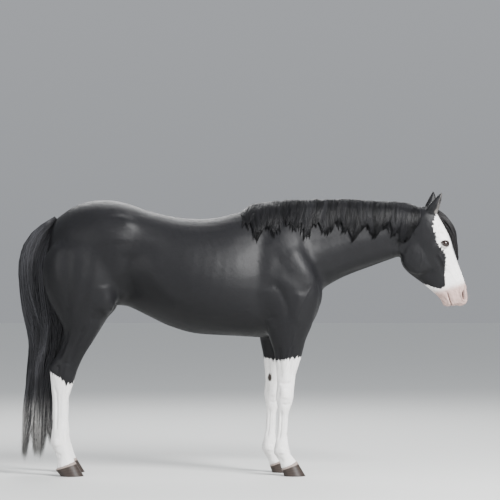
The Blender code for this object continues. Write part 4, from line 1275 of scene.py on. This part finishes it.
def parted(shape, paths):
    # below the gathering height every strand runs to the foot of its own lock, and each lock
    # takes its own share of the strands, from the back of the tail forwards
    count, steps = paths.shape[:2]
    order = np.argsort(np.argsort(paths[:, int(steps * 0.62), 0])) / count
    foot = shape["feet"][np.searchsorted(shape["lockShares"], order)]
    foot = foot + random.normal(0, 1, (count, 3)) * (0.010, 0.008, 0.016)
    foot[:, 2] = np.maximum(foot[:, 2] + random.exponential(0.030, count), 0.050)
    place = np.arange(steps)
    first = [np.interp(shape["gather"], path[::-1, 2], place[::-1]) for path in paths]
    first = np.array(first).astype(int)[:, None]
    share = np.clip((place - first) / np.maximum(steps - 1 - first, 1), 0, 1)[..., None]
    begin = paths[np.arange(count), first[:, 0]][:, None]
    # it stays out at the lock's side until late, then turns in to the foot
    hanging = begin + (foot[:, None] - begin) * np.where((1, 1, 0), share**1.9, share)
    return np.where((place >= first)[..., None], hanging, paths)


def paleEnds(tones, points, shades, each):
    # each strand turns grey at a height of its own, but the darker locks stay dark to their ends
    count = len(shades)
    start = tailShape["paleFrom"] + np.repeat(random.normal(0, 0.022, count), each)
    share = smooth(start - points[:, 2], -0.03, 0.12)
    share = share * np.repeat(random.uniform(0.70, 1.0, count), each)
    share = share * np.repeat(0.08 + 0.92 * smooth(shades, 0.80, 1.15), each)
    tips = linear(tailShape["tips"]) * np.repeat(random.uniform(0.7, 1.1, count), each)[:, None]
    return mixed(tones, tips, share)


def paleCore(points):
    return 0.15 * smooth(tailShape["paleFrom"] - points[:, 2], 0.0, 0.22)


def tailDrawnIn(points):
    # in and up where the hanging locks part, so that only strands show there
    share = smooth(tailShape["gather"] + 0.16 - points[:, 2], 0.0, 0.26)
    centre = np.array((-1.180, 0.0))
    points[:, :2] = centre + (points[:, :2] - centre) * (1 - 0.75 * share)[:, None]
    points[:, 2] += 0.19 * share
    return points


makeMane()
bundle(tailShape, paleEnds)
core("tail", tailShape, tailDrawnIn, paleCore)
print("tail done")
bundle(forelockShape)
core("forelock", forelockShape)
print("forelock done")


# Short coat: tufts with their roots under the skin, lying along the body

coatShape = {
    # for each place: length, half width, height of the ridge, and lift of the tip
    "body": (0.026, 0.0016, 0.00014, 0.00014),
    "leg": (0.011, 0.0010, 0.00014, 0.0002),
    "head": (0.0075, 0.0008, 0.00013, 0.00016),
    "muzzle": (0.0040, 0.0006, 0.00010, 0.00012),
    "ear": (0.0080, 0.0007, 0.00014, 0.0003),
    "root": 0.0002,  # roots lie this deep under the skin
    "rough": 0.35,  # spread of lengths and directions
    "swirl": 0.22,
    "shade": 0.09,
    "quickShare": 4,  # one tuft in this many for a quicker, lighter coat
    "pieces": {
        "bodyCoatRight": (("trunk", "neck"), right, 46000),
        "bodyCoatLeft": (("trunk", "neck"), left, 46000),
        "legCoat": (("foreRight", "foreLeft", "hindRight", "hindLeft"), None, 47000),
        "headCoat": (("head", "earRight", "earLeft"), None, 48000),
    },
}


def hairFlow(points, normals):
    # the way the coat lies, before it is laid into the surface
    x, y, z = points.T
    head = onHeadShare(points)
    flow = np.tile((-1.0, 0.0, -0.30), (len(points), 1))
    for share, way in (
        (smooth(-x, 0.45, 0.95), (-0.70, 0.0, -0.75)),
        (smooth(x, -0.05, 0.30) * (1 - smooth(z, 1.10, 1.40)), (-0.45, 0.0, -0.90)),
        (smooth(beforeWithers(points), -0.10, 0.15), (-0.80, 0.0, -0.60)),
        (onLegShare(points), (-0.12, 0.0, -1.0)),
        (head, (0.25, 0.0, -0.97)),
        (head * smooth(normals[:, 0], 0.2, 0.8), (0.42, 0.0, -0.90)),
        (head * smooth(-normals[:, 0], 0.0, 0.7), (-0.25, 0.0, -0.95)),
        (1.0 * onEar(points), (0.45, 0.0, 0.90)),
    ):
        flow = mixed(flow, np.array(way), share)
    swirl = coatShape["swirl"]
    flow[:, 2] += swirl * ripple(x + y, 41, 0.11) * ripple(z, 42, 0.13)
    flow[:, 1] += swirl * 0.6 * ripple(z + x * 0.5, 43, 0.12)
    return flow


def tuftSizes(points):
    # length, half width, ridge height and tip lift at each place
    head = onHeadShare(points)
    sizes = np.array(coatShape["body"])
    for place, share in (
        ("leg", onLegShare(points)),
        ("head", head),
        ("muzzle", smooth(1.13 - points[:, 2], 0, 0.08) * head),
        ("ear", 1.0 * onEar(points)),
    ):
        sizes = mixed(sizes, np.array(coatShape[place]), share)
    # near the eyes the hairs are tiny, and they stop at the lids' bare edge
    for eye in eyes.values():
        near = 1 - smooth(distanceTo(points, eye["middle"]), 0.030, 0.055)
        sizes = sizes * (1 - 0.45 * near[:, None])
    return sizes


def longerTufts(points, normals):
    # how much longer the coat is in some places, and how far it stands away from the body there
    x, y, z = points.T
    restX = x - legShift(points)
    fore = hump(restX - 0.185, 0.022) * hump(z - 0.150, 0.035)
    hind = hump(restX + 1.090, 0.022) * hump(z - 0.185, 0.035)
    foreTop = 0.036 + (restX - 0.222) * 0.41
    hindTop = 0.036 + (restX + 1.068) * 0.35
    hoofTop = np.where(onForehand(points), foreTop, hindTop)
    under = smooth(-normals[:, 2], 0.5, 0.95)
    back = smooth(-normals[:, 0], 0.6, 0.95) * onLegShare(points)
    more, lift = np.ones(len(points)), np.zeros(len(points))
    for share, times, stand in (
        (np.clip(fore + hind, 0, 1), 2.6, 0.0035),
        ((1 - smooth(z - hoofTop, 0.008, 0.022)) * (z < 0.12), 1.3, 0.0006),
        (under * onHeadShare(points) * (x < 1.16), 1.9, 0.0012),
        (under * (np.abs(x + 0.25) < 0.65) * (z < 1.1), 1.3, 0.0010),
        (back * (z > 0.25), 1.3, 0.0008),
        (onEar(points) * smooth(normals[:, 0], 0.2, 0.8), 1.8, 0.0020),
    ):
        more = more * (1 + (times - 1) * share)
        lift = lift + stand * share
    return more, lift


def scatter(mesh, allowed, weights, count):
    # random places on the chosen triangles, more of them where weights are high
    faces = trianglesOf(mesh)[allowed]
    corners = pointsOf(mesh)[faces]
    first, second, third = corners.transpose(1, 0, 2)
    chance = np.linalg.norm(np.cross(second - first, third - first), axis=1) * weights
    chosen = random.choice(len(faces), count, p=chance / chance.sum())
    a, b = random.uniform(0, 1, (2, count))
    flip = a + b > 1
    a, b = np.where(flip, 1 - a, a), np.where(flip, 1 - b, b)
    mix = np.stack([1 - a - b, a, b], 1)[..., None]
    facing = normalsOf(mesh)[faces[chosen]]
    return (corners[chosen] * mix).sum(1), unit((facing * mix).sum(1))


def coatWeights(middles, normals):
    # small tufts stand closer together
    sizes = tuftSizes(middles)
    weights = 1 / (sizes[:, 0] * sizes[:, 1]) ** 0.6
    more, _ = longerTufts(middles, normals)
    weights = weights * (1 + 0.8 * (more - 1))
    # none on the lids' edges, inside the nostrils, between the lips or on the tips of the ears
    bare, _, _ = toPath(middles[:, [0, 2]], mouth["line"])
    bare = (bare < 0.005) & (middles[:, 0] > 1.16)
    for word, side in sides.items():
        outside, _, turn = eyeMeasure(middles, side)
        bare |= (outside < 0.0035) & (turn < 1.6)
        bare |= nostrilMeasure(middles, side) < 0.0055
        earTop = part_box("ear_" + word)[1].z - 0.008
        bare |= onEar(middles) & (middles[:, 1] * side > 0) & (middles[:, 2] > earTop)
    return np.where(bare, 0, weights)


def onSkin(ends, over):
    # the same places brought down to the skin, however it curves, and the way it faces there
    found = [skinTree.find_nearest(end)[:2] for end in ends]
    spots, facing = (np.array(part) for part in zip(*found))
    return spots + facing * over, facing


def coatPiece(name, names, side, count):
    faces = trianglesOf(skinMesh)
    middles = skinPoints[faces].mean(1)
    allowed = np.isin(regionOf(middles), [regionNames.index(n) for n in names])
    if side is not None:
        allowed &= middles[:, 1] * side > 0
    weights = coatWeights(middles[allowed], skinNormals[faces[allowed]].mean(1))
    roots, normals = scatter(skinMesh, allowed, weights, count)
    rough = coatShape["rough"]
    sizes = tuftSizes(roots) * (1 + rough * random.uniform(-1, 1, (count, 1)))
    more, lift = longerTufts(roots, normals)
    length, half, ridge = sizes[:, :1] * more[:, None], sizes[:, 1:2], sizes[:, 2:3]
    rise = sizes[:, 3] * random.uniform(0.2, 1.3, count) + lift * random.uniform(0.2, 1, count)
    rise = rise[:, None]
    flow = unit(hairFlow(roots, normals)) + random.normal(0, 0.35 * rough, (count, 3))
    flow = unit(flow - (flow * normals).sum(1)[:, None] * normals)
    aside = np.cross(normals, flow)
    start = roots - normals * coatShape["root"]
    tips, facing = onSkin(roots + flow * length, rise)
    top, _ = onSkin(roots + flow * length * 0.4, ridge)

    def sag():
        # how far the ridge lies under a straight line from root to tip
        return ((top - roots * 0.6 - tips * 0.4) * normals).sum(1)

    # in a hollow a long tuft would bridge it, so it is cut short there
    for _ in range(2):
        hollow = (sag() < -0.00025) | (((tips - roots) * flow).sum(1) < 0.7 * length[:, 0])
        hollow |= (facing * normals).sum(1) < 0.6
        length[hollow] *= 0.4
        tips[hollow], facing[hollow] = onSkin((roots + flow * length)[hollow], rise[hollow] * 0.5)
        top[hollow], _ = onSkin((roots + flow * length * 0.4)[hollow], ridge[hollow])
    half = np.minimum(half, length * 0.3)
    top += normals * np.maximum(0.00009 - sag(), 0)[:, None]
    points = np.stack([start - aside * half, start + aside * half, top, tips], 1).reshape(-1, 3)
    tuft = np.array([(0, 2, 1), (0, 3, 2), (2, 3, 1), (0, 1, 3)])
    faces = (tuft + (np.arange(count) * 4)[:, None, None]).reshape(-1, 3)
    mesh = meshFrom(name, points, triangles=faces)
    dark, pale, edge = toneAt(roots, normals)
    edge = edge + random.normal(0, 0.0022, count)
    shade = np.clip(random.normal(0, 1, (count, 1)), -1.6, 1.6)
    tones = mixed(dark, pale, smooth(edge, -0.0008, 0.0008)) * (1 + coatShape["shade"] * shade)
    setTone(mesh, np.repeat(np.clip(tones, 0, 0.95), 4, axis=0))
    found = regionOf(roots)
    places = inCell(np.clip(rolledOut(roots, found), 0, 1), found)
    low, high = places.min(0), places.max(0)
    places = 0.01 + 0.98 * (places - low) / (high - low)
    patch = np.array([(-0.0015, -0.0015), (0.0015, -0.0015), (0.0, 0.0004), (0.0, 0.0015)])
    setMap(mesh, (places[:, None] + patch).reshape(-1, 2))
    addPiece(name, mesh, tuftHair, "coat")
    # light follows the skin under a tuft, with each side of the tuft turned a little away
    leans = (-0.07 * aside, 0.07 * aside, -0.04 * flow, 0.06 * flow)
    shading = np.stack([unit(normals + lean) for lean in leans], 1).reshape(-1, 3)
    mesh.normals_split_custom_set_from_vertices(shading.tolist())
    print(name, "done:", count, "tufts")


for name, (names, side, count) in coatShape["pieces"].items():
    coatPiece(name, names, side, count // (1))


# Eyes

eyeShape = {
    "pupil": (0.0088, 0.0042),  # half length and half height, measured over the eyeball
    "iris": (0.0185, 0.0165),
    "bulge": 0.0009,
    "inset": 0.0006,  # the eyeball is this much smaller than the socket
    "pupilTone": "#050609",
    "irisTone": "#20110a",
    "irisEdge": "#0a0605",
    "white": "#352b26",  # what shows of it is dark with pigment
    "rings": 72,
    "around": 96,
}
# A wet cornea: IOR 1.376, as smooth as glass, so that a lamp shows in it as a small sharp light.
wetEye, eyeTree, eyeShader = newMaterial(
    "wetEyeball", Roughness=0.06, IOR=1.376, Coat_Weight=1.0, Coat_IOR=1.376, Coat_Roughness=0.03
)
eyeTone = addNode(eyeTree, "Attribute", {"attribute_name": "tone"})
eyeTree.links.new(eyeTone.outputs["Color"], eyeShader.inputs["Base Color"])


def makeEye(word):
    shape = eyeShape
    eye = eyes[sides[word]]
    radius = eye["radius"]
    turn = np.linspace(0, math.pi, shape["rings"] + 1)[1:-1, None]
    angle = np.arange(shape["around"]) * fullTurn / shape["around"]
    flat = np.stack([np.cos(angle), np.sin(angle)], 1)
    arcs = turn[..., None] * flat * radius
    iris = np.linalg.norm(arcs / shape["iris"], axis=-1)
    reach = radius - shape["inset"] + shape["bulge"] * (1 - smooth(iris, 0.3, 1.15))
    high = np.cos(turn) + 0 * angle
    local = np.concatenate([np.sin(turn)[..., None] * flat, high[..., None]], -1) * reach[..., None]
    front = radius - shape["inset"] + shape["bulge"]
    poles = [(0, 0, front), (0, 0, shape["inset"] - radius)]
    local = np.concatenate([local.reshape(-1, 3), poles])
    arcs = np.concatenate([arcs.reshape(-1, 2), [(0, 0), (0.08, 0)]])
    points = eye["middle"] + local @ np.stack([eye["across"], eye["up"], eye["out"]])
    mesh = ringedMesh("eye", points, shape["rings"] - 1, shape["around"])
    pupil = (np.abs(arcs / shape["pupil"]) ** 2.4).sum(1) ** (1 / 2.4)
    iris = np.linalg.norm(arcs / shape["iris"], axis=1)
    way = np.arctan2(arcs[:, 1], arcs[:, 0])
    fibre = 1 + 0.25 * ripple(way, 51, 0.16) + 0.2 * ripple(way, 52, 0.5)
    tones = linear(shape["irisTone"]) * (fibre * (1.15 - 0.5 * smooth(iris, 0.3, 1.0)))[:, None]
    for share, code in (
        (smooth(iris, 0.82, 0.98), "irisEdge"),
        (smooth(iris, 1.02, 1.22), "white"),
        (1 - smooth(pupil, 0.90, 1.08), "pupilTone"),
    ):
        tones = mixed(tones, linear(shape[code]), share)
    setTone(mesh, tones)
    setMap(mesh, 0.5 + arcs / (fullTurn * radius) * 0.98)
    addPiece(f"eyeball{word.capitalize()}", mesh, wetEye, "eye", f"eye_{word}")


# Lashes and whiskers: single stiff hairs that start at their roots and curve over

lashShape = {
    "half": 0.00022,
    "thick": 0.00022 * 1.7,
    "tone": "#151312",
    # how many, between which shares of the lid, length, and how far they curve down
    "upper": (64, (-0.80, 0.85), 0.017, -0.55),
    "lower": (22, (-0.6, 0.7), 0.009, -0.35),
}
whiskerShape = {
    "half": 0.00016,
    "thick": 0.00016 * 1.7,
    "tone": "#8d8580",
    "lengths": (0.010, 0.034),
    "onLips": 150,
    "underEyes": 16,
}


def bristle(name, shape, roots, ways, bends, lengths, steps=6):
    t = np.linspace(0, 1, steps)[:, None]
    paths = roots[:, None] + (ways[:, None] * t + bends[:, None] * t**2) * lengths[:, None, None]
    paths[:, 0] -= ways * 0.0015
    ahead = unit(np.gradient(paths, axis=1))
    across = unit(np.cross(ahead, (0.31, 0.42, 0.85)))
    up = np.cross(across, ahead)
    order = np.linspace(0, 1, len(roots))
    strandPiece(name, paths, across, up, 1 - 0.85 * t[:, 0], shape, order)


def makeLashes():
    lashes = []
    for eye in eyes.values():
        for lid, hand in (("upper", 1), ("lower", -1)):
            count, between, length, droop = lashShape[lid]
            for _ in range(count):
                share = random.uniform(*between)
                a = share * lidShape["half"]
                curve = lidShape["curve"]
                b = lidShape[lid] * (1 - abs(share) ** curve) ** (1 / curve) + 0.0008
                b = hand * b + lidShape["level"]
                arc = math.hypot(a, b)
                flat = (eye["across"] * a + eye["up"] * b) / arc
                turn = arc / eye["radius"]
                way = eye["out"] * math.cos(turn) + flat * math.sin(turn)
                root = eye["middle"] + way * (eye["radius"] + 0.0016)
                aim = way * 0.9 + flat * 0.25 + eye["across"] * (0.35 * share - 0.1)
                aim = aim + random.normal(0, 0.10, 3)
                bend = eye["up"] * droop - eye["across"] * 0.15 + random.normal(0, 0.08, 3)
                long = length * (1 - 0.35 * share**2) * random.uniform(0.7, 1.1)
                lashes.append((root, unit(aim), bend, long))
    bristle("eyelashes", lashShape, *(np.array(part) for part in zip(*lashes)))


def makeWhiskers():
    # on the lips and chin, and a few under the eyes
    middles = skinPoints[trianglesOf(skinMesh)].mean(1)
    x, y, z = middles.T
    lips = (x > 1.13) & (z < 1.075) & (z < 1.03 + 0.2 * (x - 1.2))
    for side in (right, left):
        lips &= nostrilMeasure(middles, side) > 0.004
    away = np.min([distanceTo(middles, eye["middle"]) for eye in eyes.values()], 0)
    underEye = (away > 0.034) & (away < 0.046) & (z < 1.315)
    grown = [
        scatter(skinMesh, allowed, np.ones(allowed.sum()), count)
        for allowed, count in ((lips, whiskerShape["onLips"]), (underEye, whiskerShape["underEyes"]))
    ]
    roots, normals = (np.concatenate(part) for part in zip(*grown))
    lengths = random.uniform(*whiskerShape["lengths"], len(roots))
    ways = unit(normals + random.normal(0, 0.25, (len(roots), 3)))
    bends = (0.05, 0.0, -0.22) + random.normal(0, 0.08, (len(roots), 3))
    bristle("whiskers", whiskerShape, roots, ways, bends, lengths)


for word in sides:
    makeEye(word)
makeLashes()
makeWhiskers()
print("eyes done")


# Hooves

hoofShape = {
    "around": 96,
    "levels": 68,
    "rings": 0.0078,  # spacing of the growth rings
    "ringDepth": 0.0006,
    "sole": 0.007,  # the wall stands this far below the hollow of the sole
    "wall": 0.010,
    "topWidth": 0.78,  # share of the width at the ground
    "frontCurve": 2.1,  # a circle has 2, and more is squarer
    "backCurve": 2.6,
    "horn": "#2e2520",
    "hornDark": "#201a17",
    "hornPale": "#3f352f",
    "band": "#8d8079",  # soft new horn under the hair line
    # shares of the hoof's own length for the heel on the ground and the front of the top,
    # and of its height for the back of the top
    "fore": (0.100, 0.683, 0.480),
    "hind": (0.195, 0.713, 0.468),
}


def makeHoof(kind, word):
    shape = hoofShape
    node = f"hoof_{'front' if kind == 'fore' else 'hind'}_{word}"
    low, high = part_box(node)
    long = high.x - low.x
    heel, frontTop, heelTop = shape[kind]
    toeX, heelX = high.x, low.x + heel * long
    topFront = (low.x + frontTop * long, high.z)
    topBack = (low.x, high.z * heelTop)
    middleY, halfSole = (low.y + high.y) / 2, (high.y - low.y) / 2
    halfTop = halfSole * shape["topWidth"]
    around, levels = shape["around"], shape["levels"]
    turn = np.arange(around) * fullTurn / around
    along, across = np.cos(turn), np.sin(turn)
    power = 2 / np.where(along >= 0, shape["frontCurve"], shape["backCurve"])

    def ring(t, draw=0.0, lift=0.0):
        # t runs from the top edge to the ground, draw pulls the ring in, lift raises it
        frontX = topFront[0] + (toeX - topFront[0]) * t - draw
        backX = topBack[0] + (heelX - topBack[0]) * t + draw
        half = halfTop + (halfSole - halfTop) * t - draw
        reach = np.abs(along) ** power
        level = np.where(along >= 0, 0.52 * (1 - reach), 0.52 + 0.48 * reach)
        x = frontX + level * (backX - frontX)
        y = half * np.sign(across) * np.abs(across) ** power
        z = (topFront[1] + level * (topBack[1] - topFront[1])) * (1 - t) + lift
        # heels: a groove between the two bulbs at the back
        x = x + 0.012 * smooth(level, 0.82, 1.0) * hump(y, 0.010) * (1 - 0.35 * t)
        return np.stack([x, middleY + y, z], 1)

    def tone(t):
        # streaks run down the wall and bands of growth round it
        streak = 0.5 + 0.5 * ripple(turn / 6.28, 61, 0.06)
        colour = mixed(linear(shape["horn"]), linear(shape["hornDark"]), 0.5 * streak)
        stripe = 0.35 * (0.5 + 0.5 * ripple(np.full(around, t * 0.07), 62, 0.012))
        colour = mixed(colour, linear(shape["hornPale"]), stripe)
        return mixed(colour, linear(shape["band"]), 1 - smooth(t, 0.03, 0.12))

    rows, tones = [], []
    # the soft band tucked up under the hair
    for draw, lift in ((0.016, 0.010), (0.010, 0.009), (0.005, 0.006), (0.002, 0.003)):
        rows.append(ring(0.0, draw, lift))
        tones.append(tone(0.0))
    height = math.hypot(toeX - topFront[0], high.z)
    waver = 0.0007 * ripple(turn / 6.28, 63, 0.25)
    for t in np.linspace(0, 1, levels):
        rise = math.sin(t * height / shape["rings"] * fullTurn + 1.5 * math.sin(9 * t))
        groove = shape["ringDepth"] * (0.6 - 0.4 * rise) * smooth(t, 0.04, 0.12)
        flare = 0.0012 * hump(t, 0.06)
        points = ring(t, draw=0.0006 + groove - flare)
        points[:, 2] += waver * t * (1 - t) * 4
        rows.append(points)
        tones.append(tone(t))
    rows[-1][:, 2] = 0.0008  # rounded ground edge
    # the underside: wall, white line and the hollow sole
    wall, sole = shape["wall"], shape["sole"]
    rims = ((0.0016, 0.0), (wall * 0.6, 0.0), (wall, 0.0006), (wall + 0.004, sole * 0.6))
    for draw, lift in (*rims, (0.030, sole), (0.048, sole)):
        rows.append(ring(1.0, draw, lift))
        tones.append(tone(0.9) * 0.8)
    total = len(rows)
    points = np.concatenate([*rows, [rows[0].mean(0)], [rows[-1].mean(0)]])
    mesh = ringedMesh(node, points, total, around)
    setTone(mesh, np.concatenate([*tones, tones[0][:1], tones[-1][:1]]))
    reach = 0.02 + 0.46 * np.append(np.repeat(np.arange(total) / (total - 1), around), [0, 1])
    spin = np.append(np.tile(turn, total), [0, 0])
    setMap(mesh, np.stack([0.5 + reach * np.cos(spin), 0.5 + reach * np.sin(spin)], 1))
    addPiece(f"hoof{kind.capitalize()}{word.capitalize()}", mesh, hoofHorn, "hoof", node)


for kind in shifts:
    for word in sides:
        makeHoof(kind, word)
print("hooves done")


# Floor, light and camera

stage = {
    "floor": "#c9cac8",
    "floorReach": 30,
    "eyeLevel": 1.29,
    "distance": 14.5,
    "across": 0.043,
    "lens": 181.25,
    "air": (0.84, 0.87, 0.92, 1),
    "airLow": 0.43,  # light from the walls, and from overhead
    "airHigh": 0.80,
    "aim": (0, 0, 0.9),
    # for each lamp: where it stands, how wide it is, and its power
    "lamps": {
        "key": ((4.0, -4.4, 4.8), 2.6, 1420),
        "fill": ((-4.6, -4.6, 2.6), 4.0, 200),
        "rim": ((-0.6, 4.8, 4.8), 4.0, 340),
    },
}


def place(name, data, spot, turn=(0, 0, 0)):
    thing = bpy.data.objects.new(name, data)
    thing.location = spot
    thing.rotation_euler = turn
    bpy.context.scene.collection.objects.link(thing)
    return thing


def makeStage():
    reach = stage["floorReach"]
    corners = [(-reach, -reach, 0), (reach, -reach, 0), (reach, reach, 0), (-reach, reach, 0)]
    mesh = meshFrom("floor", corners, quads=np.array([[0, 1, 2, 3]]))
    floorTone = (*linear(stage["floor"]), 1)
    mesh.materials.append(newMaterial("plainFloor", Roughness=0.9, Base_Color=floorTone)[0])
    floor = place("floor", mesh, (0, 0, 0))
    # the studio's walls are as bright as the far floor, and its ceiling brighter
    world = bpy.data.worlds.new("studio")
    world.use_nodes = True
    tree = world.node_tree
    tree.nodes["Background"].inputs[0].default_value = stage["air"]
    way = addNode(tree, "TexCoord").outputs["Generated"]
    height = addNode(tree, "SeparateXYZ", Vector=way).outputs[2]
    power = {"From Min": 0.0, "From Max": 0.7, "To Min": stage["airLow"], "To Max": stage["airHigh"]}
    power = addNode(tree, "MapRange", power, Value=height).outputs[0]
    tree.links.new(power, tree.nodes["Background"].inputs[1])
    bpy.context.scene.world = world
    for name, (spot, size, energy) in stage["lamps"].items():
        light = bpy.data.lights.new(name, "AREA")
        light.shape = "DISK"
        light.size = size
        light.energy = energy
        aim = Vector(stage["aim"]) - Vector(spot)
        place(name, light, spot, aim.to_track_quat("-Z", "Y").to_euler())
    lens = bpy.data.cameras.new("camera")
    lens.lens = stage["lens"]
    lens.clip_end = 100
    spot = (stage["across"], -stage["distance"], stage["eyeLevel"])
    bpy.context.scene.camera = place("camera", lens, spot, (math.pi / 2, 0, 0))


makeStage()
print("stage done")
